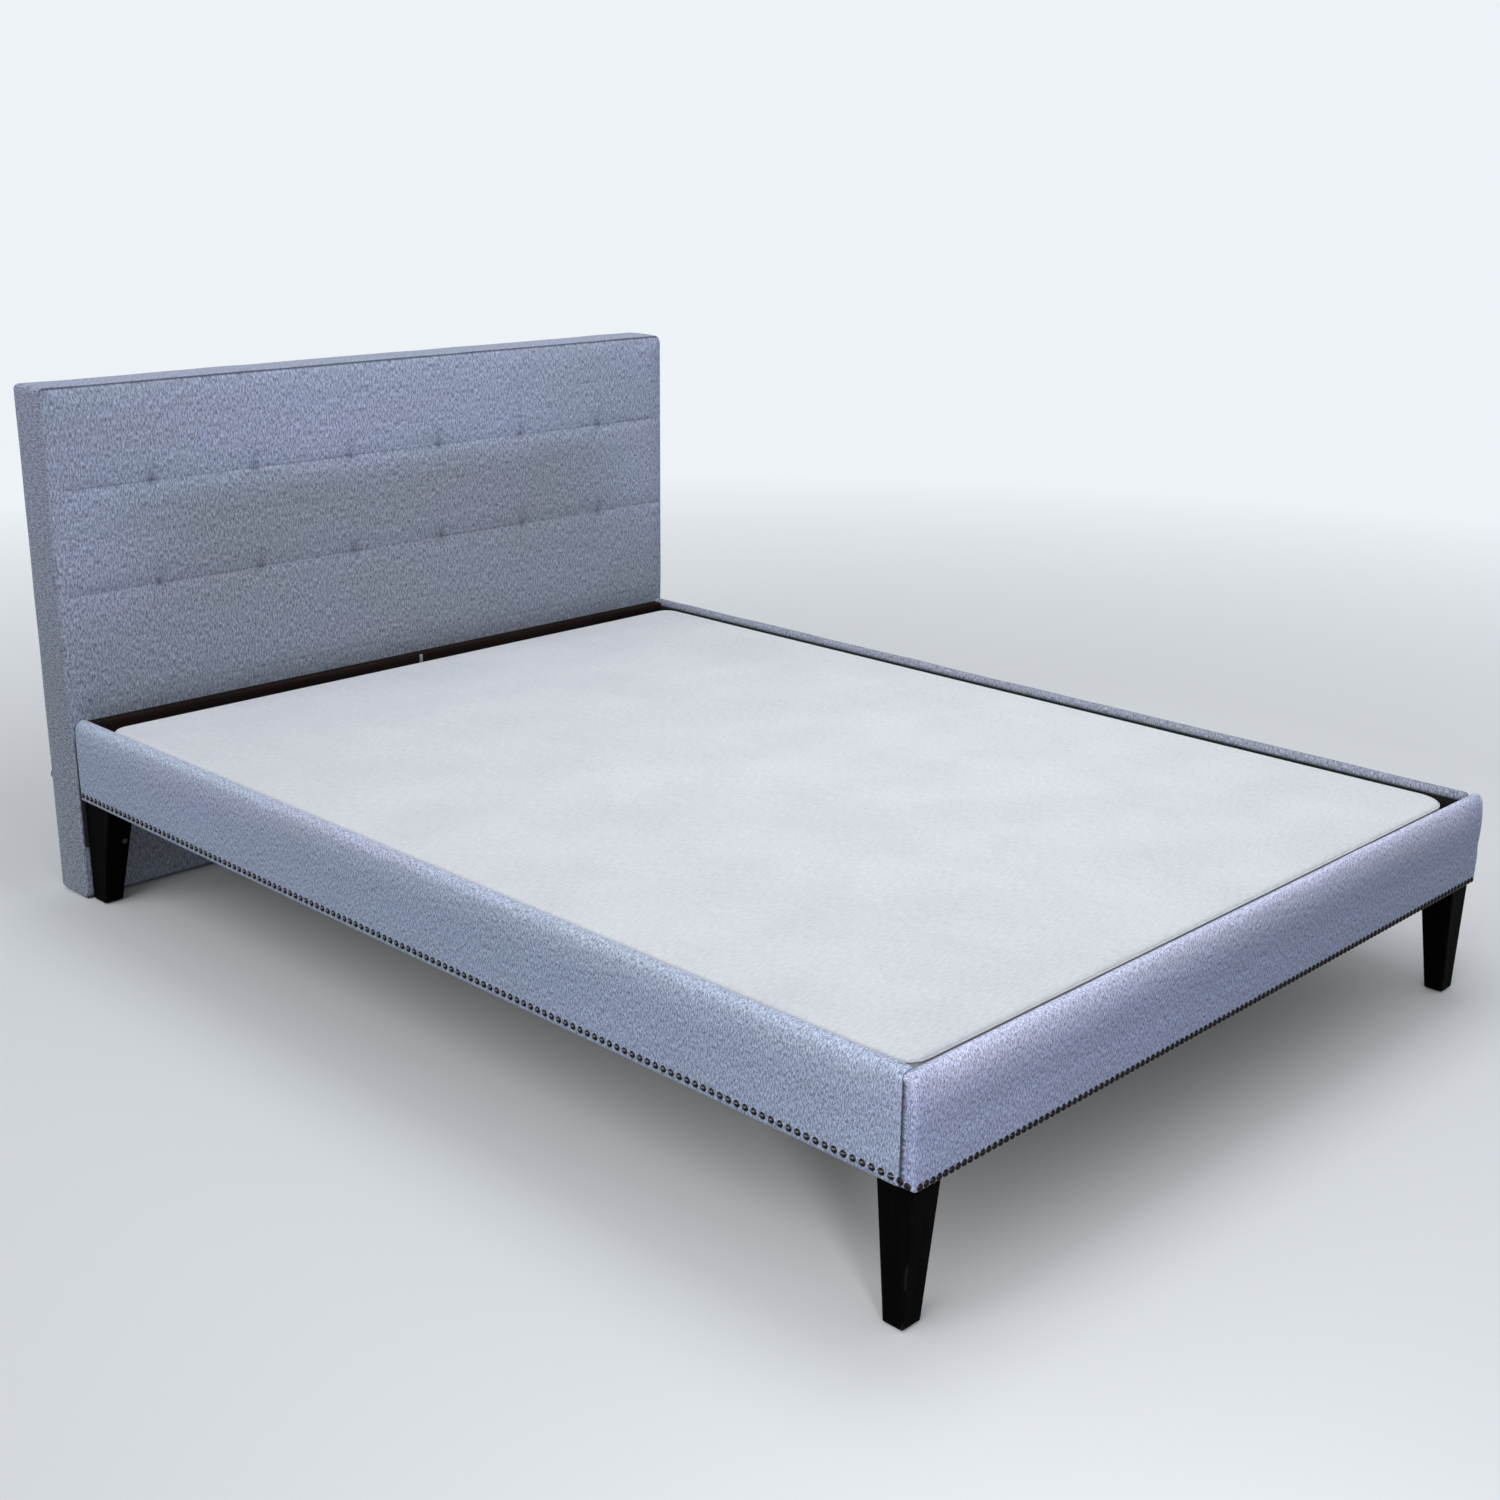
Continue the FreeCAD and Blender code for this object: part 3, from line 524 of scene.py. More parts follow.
# %% [markdown]
# ## Padded rails
#
# A rail's cover is a closed tube whose section is a rectangle with four different corners:
# broad over the foam at the top of the outer face, tight under the nails. Its ends are drawn
# in. The outer face is then left to swell as cloth, held at the nails, the ends and the back.
# Inside, the cloth ends in a hem just under the top, and a black lining covers the board.

# %% Rail helpers
def corner_loop(half_a, half_b, radii, count):
    """Even points round a rectangle with four corner radii, and the outward direction.

    The corners are (+a, +b), (-a, +b), (-a, -b) and (+a, -b). Their quarter circles are
    joined by straight runs, and the whole line is divided by its length.
    """
    radii = np.repeat(np.asarray(radii), 12)
    turn = np.tile(np.linspace(0, math.pi / 2, 12), 4)
    angle = turn + np.repeat(np.arange(4), 12) * math.pi / 2
    signs = np.repeat([[1, 1], [-1, 1], [-1, -1], [1, -1]], 12, axis=0)
    facing = np.stack([np.cos(angle), np.sin(angle)], -1)
    points = signs * (np.array([half_a, half_b]) - radii[:, None]) + radii[:, None] * facing
    points = np.concatenate([points, points[:1]])
    facing = np.concatenate([facing, facing[:1]])
    length = np.concatenate([[0], np.cumsum(np.linalg.norm(np.diff(points, axis=0), axis=1))])
    wanted = np.linspace(0, length[-1], count + 1)
    points, facing = (
        np.stack([np.interp(wanted[:-1], length, part[:, k]) for k in (0, 1)], -1)
        for part in (points, facing)
    )
    return points, facing / np.linalg.norm(facing, axis=1, keepdims=True), wanted


def capped_run(low, high, edge, reach, step):
    """Place along the axis and inset of each row of a tube with closed, rounded ends.

    The end starts as a flat cap drawn in by the reach, grows to the edge radius, turns a
    quarter circle, and runs straight to the other end, where all that is mirrored.
    """
    turn = np.linspace(0, math.pi / 2, 5)[1:]
    inset = np.concatenate([np.linspace(reach, edge, 4), edge * (1 - np.sin(turn))])
    place = np.concatenate([np.zeros(4), edge * (1 - np.cos(turn))])
    run = np.linspace(low + edge, high - edge, round((high - low) / step))[1:-1]
    places = np.concatenate([low + place, run, high - place[::-1]])
    return places, np.concatenate([inset, np.zeros(len(run)), inset[::-1]])


def padded_bar(
    name, axis, box, radii, end_radius, inner_share, shoulder, outward, seed, crest, fill=0.0, crown=0.0
):
    """Cover of a rail along the X axis (axis 0) or the Y axis (axis 1), inside a box.

    Row k is the section moved inwards by its inset and kept inside the box. The inset is
    smaller, by the inner share, on the face that looks inwards. The outer face leans back
    by the shoulder times the square of the share of its top third, and it is drawn in along
    a bell curve below its middle. The top falls off towards rounded ends, is stuffed higher
    by the crown, and the end at +X or +Y is stuffed further by the fill. The lining mask is 1
    on the inner face below the hem. The top highlight mask is a painted highlight: it falls
    from the top as a bell curve, and is weaker near the ends.
    """
    low, high = box
    middle, half = (low + high) / 2, (high - low) / 2
    side = 1 - axis
    loop, facing, lengths = corner_loop(half[side], half[2], radii, 76)
    loop, facing = loop * [outward, 1], facing * [outward, 1]
    places, inset = capped_run(low[axis], high[axis], end_radius, half[side], 0.015)
    scale = np.where(facing[:, 0] * outward < -0.5, inner_share, 1.0)
    rows = loop[None] - (inset[:, None] * scale)[..., None] * facing[None]
    limit = (np.array([half[side], half[2]]) - inset[:, None] * 0.999)[:, None]
    rows = np.where(inset[:, None, None] > end_radius, np.clip(rows, -limit, limit), rows)
    points = np.empty(rows.shape[:2] + (3,))
    points[..., axis] = places[:, None]
    points[..., side] = rows[..., 0] + middle[side]
    points[..., 2] = rows[..., 1] + middle[2]
    height = (points[..., 2] - low[2]) / (high[2] - low[2])
    reach = np.clip(rows[..., 0] * outward / half[side], 0, 1)
    points[..., side] -= outward * shoulder * np.clip((height - 0.66) / 0.34, 0, 1) ** 2 * reach
    from_end = np.minimum(places - low[axis], high[axis] - places)[:, None]
    fall = 0.25 * end_radius * np.clip(1 - from_end / (1.6 * end_radius), 0, 1) ** 1.5
    points[..., 2] -= fall * np.clip((height - 0.8) / 0.2, 0, 1)
    face = np.clip(facing[None, :, 0] * outward, 0, 1) * (inset[:, None] < end_radius)
    pins = (face < 0.5) | (height < 0.13) | (inset[:, None] > 0)
    points = swell(points, True, pins, pressure=3.0, slack=0.01, cap=0.0022)
    waves = 0.0006 * ripple(points[..., axis], points[..., 2], 0.14, seed)
    waves -= 0.22 * shoulder * np.exp(-(((height - 0.42) / 0.1) ** 2))
    points[..., side] += outward * waves * face * np.clip((height - 0.12) / 0.2, 0, 1)
    top = np.clip(facing[None, :, 1], 0, 1) * (inset[:, None] < end_radius)
    points[..., 2] += 0.0005 * (ripple(points[..., axis], points[..., side], 0.2, seed + 1) - 1) * top
    points[..., 2] += crown * np.clip((height - 0.6) / 0.4, 0, 1)
    near_high = np.exp(-(((high[axis] - places[:, None]) / 0.03) ** 2))
    points[..., axis] += fill * near_high * (0.3 + 0.7 * height)
    travel = np.concatenate([[0], np.cumsum(np.hypot(np.diff(places), np.diff(inset)))])
    u, v = np.meshgrid(lengths, travel)
    piece = sewn_mesh(name, (points, np.stack([v, u], -1), True))
    ends = positions(piece)
    inner = (ends[:, side] - middle[side]) * -outward > half[side] - 0.0035
    add_mask(piece, "lining", inner & (ends[:, 2] < hem_low))
    # Painted highlight: a mask that lightens the top of the rail, weaker near its ends.
    below = (high[2] - ends[:, 2]) / (high[2] - low[2])
    near_end = np.abs(ends[:, axis] - middle[axis]) - half[axis] + 0.09
    fade = 1 - 0.4 * np.clip(near_end / 0.07, 0, 1)
    add_mask(piece, "crest", crest * fade * np.exp(-((below / 0.23) ** 2)))
    return piece


# %% [markdown]
# ## The three rails
# All three rails use the same section with a few changes. A side rail is nearly square at
# its ends, where it meets the headboard and the foot rail. The foot rail runs past both, so
# its ends are rounded, its face leans back more, and its right end is stuffed a little
# further. A painted highlight lightens the top of each rail, most on the foot rail and least on the right rail.
# The crest is the nap along the top of a face, which hands and knees brush pale.

# %% Side rails and foot rail
hem_low = corners("foot_rail_lining")[1][2] + 0.001
side_radii = (0.018, 0.0075, 0.004, 0.004)
foot_radii = (0.015, 0.008, 0.004, 0.004)
side_form = {"radii": side_radii, "end_radius": 0.0045, "inner_share": 1.0, "shoulder": 0.002}
foot_form = {"radii": foot_radii, "end_radius": 0.009, "inner_share": 0.35, "shoulder": 0.008}
left_form = {**side_form, "outward": -1, "seed": 11, "crest": 0.4}
right_form = {**side_form, "outward": 1, "seed": 12, "crest": 0.1, "crown": 0.003}
side_covers = [
    padded_bar(f"side_rail_{side}_upholstery", 1, corners(f"side_rail_{side}_cover"), **form)
    for side, form in (("left", left_form), ("right", right_form))
]
foot_form.update(outward=-1, seed=13, crest=1.0, fill=0.010)
foot_cover = padded_bar("foot_rail_upholstery", 0, (foot_low, foot_high), **foot_form)
print("rail cover faces:", [len(piece.data.polygons) for piece in (*side_covers, foot_cover)])

# %% [markdown]
# ## Foundation ticking
#
# The pale deck is a firm panel with softly rounded corners, sewn to its side band with a
# thin welt. It is nearly flat: faint long ripples where the non-woven cloth lies loose, and
# a rolled edge.

# %% Foundation ticking
deck_mid = (deck_low + deck_high) / 2
welt_radius = 0.0015
deck_half = (deck_high - deck_low)[:2] / 2 - welt_radius
deck_corners = (0.036, 0.036, 0.034, 0.0585)
deck_roll = 0.0045


def make_ticking():
    """Top panel and side band of the ticking, sewn along the welt."""
    half_x, half_y = deck_half
    x_lines = crowded_lines(-half_x, half_x, 0.02, 0.004, [-half_x, half_x], 0.03)
    y_lines = crowded_lines(-half_y, half_y, 0.02, 0.004, [-half_y, half_y], 0.03)
    x, y = rounded_grid(x_lines, y_lines, deck_corners)
    edge = rim_distance(x, y, half_x, half_y, deck_corners)
    slack = 0.0012 * ripple(x, y, 0.4, 21) + 0.0006 * ripple(x, y * 0.4, 0.09, 22)
    lift = pillow(edge, 0.018, deck_roll) + slack * np.clip(edge / 0.08, 0, 1)
    top = np.stack([x + deck_mid[0], y + deck_mid[1], deck_high[2] - deck_roll + lift], -1)
    loop = rim_loop(np.stack([x, y], -1))
    share = np.array([0, 0.02, 0.05, 0.2, 0.47, 0.73, 0.93, 0.99, 1, 1])
    drop = share * (deck_high[2] - deck_low[2] - deck_roll - 0.001)
    rise = np.array([0, -0.0006, 0.0006, 0.0012, 0.0016, 0.0012, 0.0006, 0, -0.003, -0.02])
    rows = loop[None] + rise[:, None, None] * loop_normals(loop)[None]
    band = np.empty(rows.shape[:2] + (3,))
    band[..., :2] = rows + deck_mid[:2]
    band[..., 2] = deck_high[2] - deck_roll - drop[:, None]
    u, v = np.meshgrid(loop_lengths(loop), drop)
    panel = (top, np.stack([x, y], -1), False)
    return sewn_mesh("foundation_cloth", panel, (band, np.stack([u, v], -1), True))


def make_welt(sides=8):
    """Round welt along the top edge of the ticking: a circle carried round the panel's rim."""
    loop, facing, lengths = corner_loop(*deck_half, deck_corners, 420)
    angle = np.linspace(0, 2 * math.pi, sides + 1)
    out = welt_radius * np.cos(angle)[:, None, None] * facing[None]
    points = np.empty((sides + 1, len(loop), 3))
    points[..., :2] = loop[None] + out + deck_mid[:2]
    points[..., 2] = deck_high[2] - deck_roll - 0.0007 + welt_radius * np.sin(angle)[:, None]
    u, v = np.meshgrid(lengths, welt_radius * angle)
    return sewn_mesh("foundation_welt", (points, np.stack([u, v], -1), True))


ticking = make_ticking()
welt = make_welt()
print("ticking faces:", len(ticking.data.polygons), "welt faces:", len(welt.data.polygons))

# %% [markdown]
# ## Dust cover
#
# The underside of the foundation is closed with a thin black cloth, stapled tight to the
# frame. A faint ripple in the middle, fading towards the stapled edge, shows that it is
# cloth, and a Solidify modifier gives it a thickness.

# %% Dust cover
dust_low, dust_high = corners("foundation_dust_cover")
dust_half = (dust_high - dust_low)[:2] / 2
dust_corners = (0.0585,) * 4


def make_dust_cover():
    """Thin cloth under the foundation, flat along its stapled edge and rippled further in."""
    half_x, half_y = dust_half
    x_lines = crowded_lines(-half_x, half_x, 0.025, 0.012, [-half_x, half_x], 0.03)
    y_lines = crowded_lines(-half_y, half_y, 0.025, 0.012, [-half_y, half_y], 0.03)
    x, y = rounded_grid(x_lines, y_lines, dust_corners)
    edge = rim_distance(x, y, half_x, half_y, dust_corners)
    lift = 0.0004 * ripple(x, y, 0.12, 31) * np.clip(edge / 0.06, 0, 1)
    mid = (dust_low + dust_high) / 2
    points = np.stack([x + mid[0], y + mid[1], dust_low[2] + 0.0004 + lift], -1)
    return sewn_mesh("foundation_cambric", (points[:, ::-1], np.stack([x, y], -1)[:, ::-1], False))


dust_cover = make_dust_cover()
solidify = dust_cover.modifiers.new("thickness", "SOLIDIFY")
solidify.thickness = 0.0004
solidify.offset = 0
print("dust cover: %.2f x %.2f m" % tuple(2 * dust_half))

# %% [markdown]
# ## Tapered legs
#
# The legs are cut from square stock on a taper jig, with eased edges. Their top and foot
# outlines are measured on the CAD legs. Rows of a rounded square run from one to the other,
# and each vertex notes how near an edge it lies, so that the finish can wear there. The
# right foot leg leans in a little, and the head legs are a trace deeper at the top.

# %% Legs
def outline_at(node, height):
    """Centre and half size of a node's outline among its vertices at one height."""
    points = positions(nodes[node])
    level = points[np.abs(points[:, 2] - height) < 0.0025][:, :2]
    return (level.min(0) + level.max(0)) / 2, (level.max(0) - level.min(0)) / 2


def make_leg(node, lean, spread, radius=0.0022, ease=0.0015):
    """Leg between the CAD leg's foot and top outlines.

    The top is moved along X by the lean, and made longer towards -Y by the spread. At share
    t of the height, centre and half size are mixed linearly. A quarter circle of the edge
    radius is set at each corner, with two more points on the flat to each side of it, and
    the ends are drawn in to a point to close.
    """
    low, high = corners(node)
    foot, top = outline_at(node, low[2]), outline_at(node, high[2])
    top[0][:] += lean, -spread / 2
    top[1][1] += spread / 2
    share = np.linspace(0, 1, 26)
    share = np.concatenate([[0, 0], share, [1, 1]])
    inset = np.concatenate([[1, ease, 0], np.zeros(24), [0, ease, 1]])
    height = low[2] + share * (high[2] - low[2])
    height[2], height[-3] = low[2] + ease, high[2] - ease
    centre = (foot[0] + share[:, None] * (top[0] - foot[0]))[:, None]
    half = (foot[1] + share[:, None] * (top[1] - foot[1]))[:, None]
    quarter = np.linspace(0, math.pi / 2, 5)
    turn = np.tile(np.concatenate([[0, 0], quarter, quarter[[-1, -1]]]), 4)
    angle = turn + np.repeat(np.arange(4), 9) * math.pi / 2
    beside = np.tile([-0.008, -0.003, 0, 0, 0, 0, 0, 0.003, 0.008], 4)[:, None]
    signs = np.repeat([[1, 1], [-1, 1], [-1, -1], [1, -1]], 9, axis=0)
    flat = signs * (half - radius) + radius * np.stack([np.cos(angle), np.sin(angle)], -1)
    flat = flat + beside * np.stack([-np.sin(angle), np.cos(angle)], -1)
    flat = np.sign(flat) * np.clip(np.abs(flat) - inset[:, None, None], 0, None)
    points = np.empty(flat.shape[:2] + (3,))
    points[..., :2] = flat + centre
    points[..., 2] = height[:, None]
    u, v = np.meshgrid(np.arange(37) * 0.006, height)
    piece = sewn_mesh(node + "_tapered", (points, np.stack([v, u], -1), True))
    place = positions(piece)
    t = (place[:, 2:] - low[2]) / (high[2] - low[2])
    middle = foot[0] + t * (top[0] - foot[0])
    from_side = foot[1] + t * (top[1] - foot[1]) - np.abs(place[:, :2] - middle)
    near_edge = np.exp(-((np.linalg.norm(from_side, axis=1) / 0.0022) ** 2))
    add_mask(piece, "edge", near_edge * np.exp(-t[:, 0] / 0.5))
    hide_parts(node)
    return piece


tops = {  # lean, spread
    "foot_leg_left": (0.0, 0.0),
    "foot_leg_right": (-0.0085, 0.0),
    "head_leg_left": (0.0, 0.004),
    "head_leg_right": (0.0, 0.004),
}
legs = [make_leg(node, *change) for node, change in tops.items()]
print("legs:", [leg.name for leg in legs])

# %% [markdown]
# ## Material helpers
#
# A material is a small graph. Two helpers keep the graphs readable: one places a node and
# gives each of its inputs either a number or another node's output, and one mixes colours.

# %% Node helpers
def put(tree, kind, inputs=(), **settings):
    """New node of a kind. Each input is a plain value, or the socket that feeds it."""
    made = tree.nodes.new("ShaderNode" + kind)
    for key, value in settings.items():
        setattr(made, key, value)
    for key, value in dict(inputs).items():
        if isinstance(value, bpy.types.NodeSocket):
            tree.links.new(value, made.inputs[key])
        else:
            made.inputs[key].default_value = value
    return made


def mix(tree, factor, a, b, blend="MIX"):
    """Colour output of a Mix node between colours a and b."""
    return put(tree, "Mix", {0: factor, 6: a, 7: b}, data_type="RGBA", blend_type=blend).outputs[2]


def calc(tree, operation, a, b=0.0):
    """Output of a Math node."""
    return put(tree, "Math", {0: a, 1: b}, operation=operation).outputs[0]


def stretch(tree, value, low, high, to_low=0.0, to_high=1.0):
    """Output of a Map Range node, which spreads low..high over to_low..to_high."""
    inputs = {"Value": value, "From Min": low, "From Max": high, "To Min": to_low, "To Max": to_high}
    return put(tree, "MapRange", inputs).outputs[0]


def noise(tree, vector, scale, detail=2.0, roughness=0.5):
    """Value of a noise whose scale may differ along the three axes."""
    scaled = put(tree, "VectorMath", {0: vector, 1: scale}, operation="MULTIPLY").outputs[0]
    inputs = {"Vector": scaled, "Scale": 1.0, "Detail": detail, "Roughness": roughness}
    return put(tree, "TexNoise", inputs).outputs[0]


def blend_of(tree, *parts):
    """Sum of several outputs, each times its own share."""
    total = 0.0
    for value, share in parts:
        total = calc(tree, "ADD", calc(tree, "MULTIPLY", value, share), total)
    return total


def new_group(name, colours, values=()):
    """Shader node group with a Vector input, colour inputs, value inputs, Color and Height."""
    group = bpy.data.node_groups.new(name, "ShaderNodeTree")
    sockets = group.interface
    sockets.new_socket("Vector", in_out="INPUT", socket_type="NodeSocketVector")
    for colour in colours:
        sockets.new_socket(colour, in_out="INPUT", socket_type="NodeSocketColor")
    for value in values:
        sockets.new_socket(value, in_out="INPUT", socket_type="NodeSocketFloat")
    sockets.new_socket("Color", in_out="OUTPUT", socket_type="NodeSocketColor")
    sockets.new_socket("Height", in_out="OUTPUT", socket_type="NodeSocketFloat")
    return group, group.nodes.new("NodeGroupInput").outputs, group.nodes.new("NodeGroupOutput").inputs


# %% [markdown]
# ## Melange weave
#
# The fabric is a polyester melange: a plain weave of yarns spun from light and dark blue
# fibres. From a step away it reads as short upright flecks on a grey blue ground. Flecks are
# a noise stretched along the warp, and the weave itself is two crossed waves that only the
# bump uses. Slow clouds of a greyer and a more violet blue keep large faces alive. The
# fineness scales the flecks only, and the contrast sets how far light and dark lie apart.

# %% Melange group
melange, given, made = new_group("melange", ["Light", "Dark", "Grey", "Violet"], ["Contrast", "Fineness"])
threads = {"Vector": given["Vector"], "Scale": 140.0}
warp, weft = (put(melange, "TexWave", threads, bands_direction=way).outputs[1] for way in "XY")
weave = calc(melange, "MAXIMUM", warp, weft)
sizing = {0: given["Vector"], "Scale": given["Fineness"]}
sized = put(melange, "VectorMath", sizing, operation="SCALE").outputs[0]
fine = stretch(melange, noise(melange, sized, (480, 150, 1), 3.0, 0.6), 0.33, 0.67)
coarse = stretch(melange, noise(melange, sized, (300, 75, 1), 2.0), 0.33, 0.67)
slub = stretch(melange, noise(melange, sized, (60, 620, 1), 2.0), 0.3, 0.7)
yarn = blend_of(melange, (fine, 0.68), (coarse, 0.29), (slub, 0.03))
tone = calc(melange, "MULTIPLY_ADD", calc(melange, "SUBTRACT", yarn, 0.5), given["Contrast"])
tone.node.inputs[2].default_value = 0.5
cloud = stretch(melange, noise(melange, given["Vector"], (2.6, 3.4, 1), 2.0), 0.36, 0.64)
drift = stretch(melange, noise(melange, given["Vector"], (1.3, 4.1, 1), 1.0), 0.42, 0.68)
ground = mix(melange, tone, given["Dark"], given["Light"])
for patches, share, tint in ((cloud, 0.45, "Grey"), (drift, 0.6, "Violet")):
    tinted = mix(melange, 1.0, ground, given[tint], "MULTIPLY")
    ground = mix(melange, calc(melange, "MULTIPLY", patches, share), ground, tinted)
melange.links.new(ground, made["Color"])
melange.links.new(blend_of(melange, (weave, 0.35), (yarn, 0.65)), made["Height"])
print("melange nodes:", len(melange.nodes))

# %% [markdown]
# ## Wood, fleece and mottle
#
# Three more effects cover the rest. Wood grain is a noise drawn out along the board, with
# finer pores on top. Fleece is the non-woven ticking: thin fibres lying in two directions
# over a cloudy ground. Mottle is a plain mix of two tones for foam, rubber, felt and metal.

# %% Grain, fleece and mottle groups
grain, given, made = new_group("grain", ["Light", "Dark"])
sway = stretch(grain, noise(grain, given["Vector"], (1.2, 9, 9), 2.0), 0.3, 0.7, -1.0, 1.0)
bent = put(grain, "CombineXYZ", {"Y": calc(grain, "MULTIPLY", sway, 0.012)}).outputs[0]
bent = put(grain, "VectorMath", {0: given["Vector"], 1: bent}, operation="ADD").outputs[0]
ring = stretch(grain, noise(grain, bent, (2.5, 85, 85), 3.0, 0.6), 0.32, 0.68)
pore = stretch(grain, noise(grain, bent, (14, 800, 800), 2.0), 0.4, 0.62)
figure = blend_of(grain, (ring, 0.75), (pore, 0.25))
grain.links.new(mix(grain, figure, given["Dark"], given["Light"]), made["Color"])
grain.links.new(figure, made["Height"])

fleece, given, made = new_group("fleece", ["Light", "Dark"])
long_fibre = stretch(fleece, noise(fleece, given["Vector"], (55, 420, 1), 3.0, 0.65), 0.35, 0.65)
slant = put(fleece, "Mapping", {"Vector": given["Vector"], "Rotation": (0, 0, 0.5)}).outputs[0]
short_fibre = stretch(fleece, noise(fleece, slant, (110, 700, 1), 2.0), 0.35, 0.65)
cloud = stretch(fleece, noise(fleece, given["Vector"], (4, 6, 1), 3.0), 0.35, 0.65)
fibres = blend_of(fleece, (long_fibre, 0.5), (short_fibre, 0.33), (cloud, 0.17))
fleece.links.new(mix(fleece, fibres, given["Dark"], given["Light"]), made["Color"])
fleece.links.new(fibres, made["Height"])

mottle, given, made = new_group("mottle", ["Light", "Dark"], ["Size"])
size = calc(mottle, "DIVIDE", 1.0, given["Size"])
scaled = put(mottle, "VectorMath", {0: given["Vector"], "Scale": size}, operation="SCALE").outputs[0]
speck = stretch(mottle, noise(mottle, scaled, (1, 1, 1), 4.0, 0.65), 0.34, 0.66)
mottle.links.new(mix(mottle, speck, given["Dark"], given["Light"]), made["Color"])
mottle.links.new(speck, made["Height"])
print("groups:", [group.name for group in bpy.data.node_groups])

# %% [markdown]
# ## Finishes
#
# Each finish is a Principled shader whose plain numbers sit on its own sockets. A group gives
# the colour and the relief that change over the surface, and a Bump node turns relief into
# shading. One function does this for every finish, and another mixes one more colour into a
# finished material, wherever a mask of the piece is set.

# %% Finish function
def rgb(r, g, b, factor=1.0):
    """Colour with alpha, scaled by a factor."""
    return (r * factor, g * factor, b * factor, 1.0)


def finish(
    name, group, inputs, roughness, bump, metallic=0.0, turn=None, uv=False, rough_spread=0.0, **sockets
):
    """Material that feeds a group's colour and relief to a Principled shader.

    bump is (strength, distance). turn rotates the pattern. rough_spread makes the low
    places of the relief rougher by that much.
    """
    material = bpy.data.materials.new(name)
    material.use_nodes = True
    tree = material.node_tree
    shader = tree.nodes["Principled BSDF"]
    if uv:
        vector = put(tree, "UVMap", uv_map="weave").outputs[0]
    else:
        vector = put(tree, "TexCoord").outputs["Object"]
    if turn:
        vector = put(tree, "Mapping", {"Vector": vector, "Rotation": turn}).outputs[0]
    effect = put(tree, "Group", node_tree=group)
    tree.links.new(vector, effect.inputs["Vector"])
    for key, value in inputs.items():
        effect.inputs[key].default_value = value
    relief = {"Height": effect.outputs["Height"], "Strength": bump[0], "Distance": bump[1]}
    tree.links.new(put(tree, "Bump", relief).outputs[0], shader.inputs["Normal"])
    tree.links.new(effect.outputs["Color"], shader.inputs["Base Color"])
    shader.inputs["Metallic"].default_value = metallic
    shader.inputs["Roughness"].default_value = roughness
    if rough_spread:
        tree.links.new(
            stretch(tree, effect.outputs["Height"], 0.0, 1.0, roughness + rough_spread, roughness),
            shader.inputs["Roughness"],
        )
    for key, value in sockets.items():
        shader.inputs[key.replace("_", " ")].default_value = value
    return material


def tint_by(material, attribute, colour, strength=1.0, blend="MULTIPLY"):
    """Mixes a colour into a finished material where a mask of the piece is set."""
    tree = material.node_tree
    socket = tree.nodes["Principled BSDF"].inputs["Base Color"]
    mask = put(tree, "Attribute", attribute_name=attribute).outputs["Fac"]
    factor = calc(tree, "MULTIPLY", mask, strength)
    tree.links.new(mix(tree, factor, socket.links[0].from_socket, colour, blend), socket)


# %% [markdown]
# ## Upholstery
#
# The upholstery is one fabric, cut from several pieces of cloth. Each piece has its own blue,
# fineness and contrast: the dye takes a little differently on each, and the right rail's
# darker, greyer blue is painted shade. A sheen gives the soft pale edge of a napped cloth.
# The masks of the pieces are then mixed in: on the headboard a darker tone, partly wear and
# partly painted shade, and painted shade in the seams; on the rails a painted highlight
# along the top, and the black lining. Where a piece has no such mask, its value is 0 and
# the colour stays.

# %% Upholstery
tints = {"Grey": rgb(0.90, 0.93, 0.84), "Violet": rgb(1.06, 0.97, 1.01)}
cloth_sockets = {
    "Sheen_Weight": 0.5,
    "Sheen_Roughness": 0.35,
    "Sheen_Tint": rgb(0.86, 0.92, 1.0),
    "Specular_IOR_Level": 0.2,
}
dyes = {  # red, green, blue, fineness, contrast
    "headboard_melange": (0.347, 0.396, 0.550, 0.85, 1.7),
    "left_rail_melange": (0.334, 0.397, 0.560, 1.3, 2.2),
    "foot_rail_melange": (0.320, 0.366, 0.562, 1.3, 2.2),
    # The right rail's blue is darker and greyer: painted shade.
    "right_rail_shaded_melange": (0.262, 0.288, 0.370, 1.0, 2.0),
}
cloths = {}
for name, (*dye, fineness, contrast) in dyes.items():
    inputs = {"Light": rgb(*dye, 1.5), "Dark": rgb(*dye, 0.5), **tints}
    inputs.update(Fineness=fineness, Contrast=contrast)
    cloths[name] = finish(name, melange, inputs, 0.88, (0.2, 0.0003), uv=True, **cloth_sockets)
upholstery, left_cloth, foot_cloth, right_shaded_cloth = cloths.values()
# Darker tone, partly wear and partly painted shade; then painted shade in the seams and tufts.
tint_by(upholstery, "rubbed", rgb(0.74, 0.73, 0.66))
tint_by(upholstery, "seam", rgb(0.22, 0.22, 0.25), 0.85)
for cloth in cloths.values():
    # Painted highlight along the top of each rail.
    tint_by(cloth, "crest", rgb(1.95, 1.80, 1.58))
    tint_by(cloth, "lining", rgb(0.012, 0.012, 0.013), blend="MIX")
thread_inputs = {"Light": rgb(0.16, 0.19, 0.27), "Dark": rgb(0.08, 0.10, 0.14), "Size": 0.002}
thread = finish("seam_thread", mottle, thread_inputs, 0.6, (0.3, 0.0002))
print("upholstery nodes:", len(upholstery.node_tree.nodes))

# %% [markdown]
# ## Woods
#
# Three woods: pale pine for what is hidden, plywood for the panels, and a nearly black stain
# for what shows. The grain follows a part's longest side, so a wood is made once for each
# direction. The legs' stain is darker still, and it is chipped along their edges near the
# floor, where a noise breaks up the edge mask.

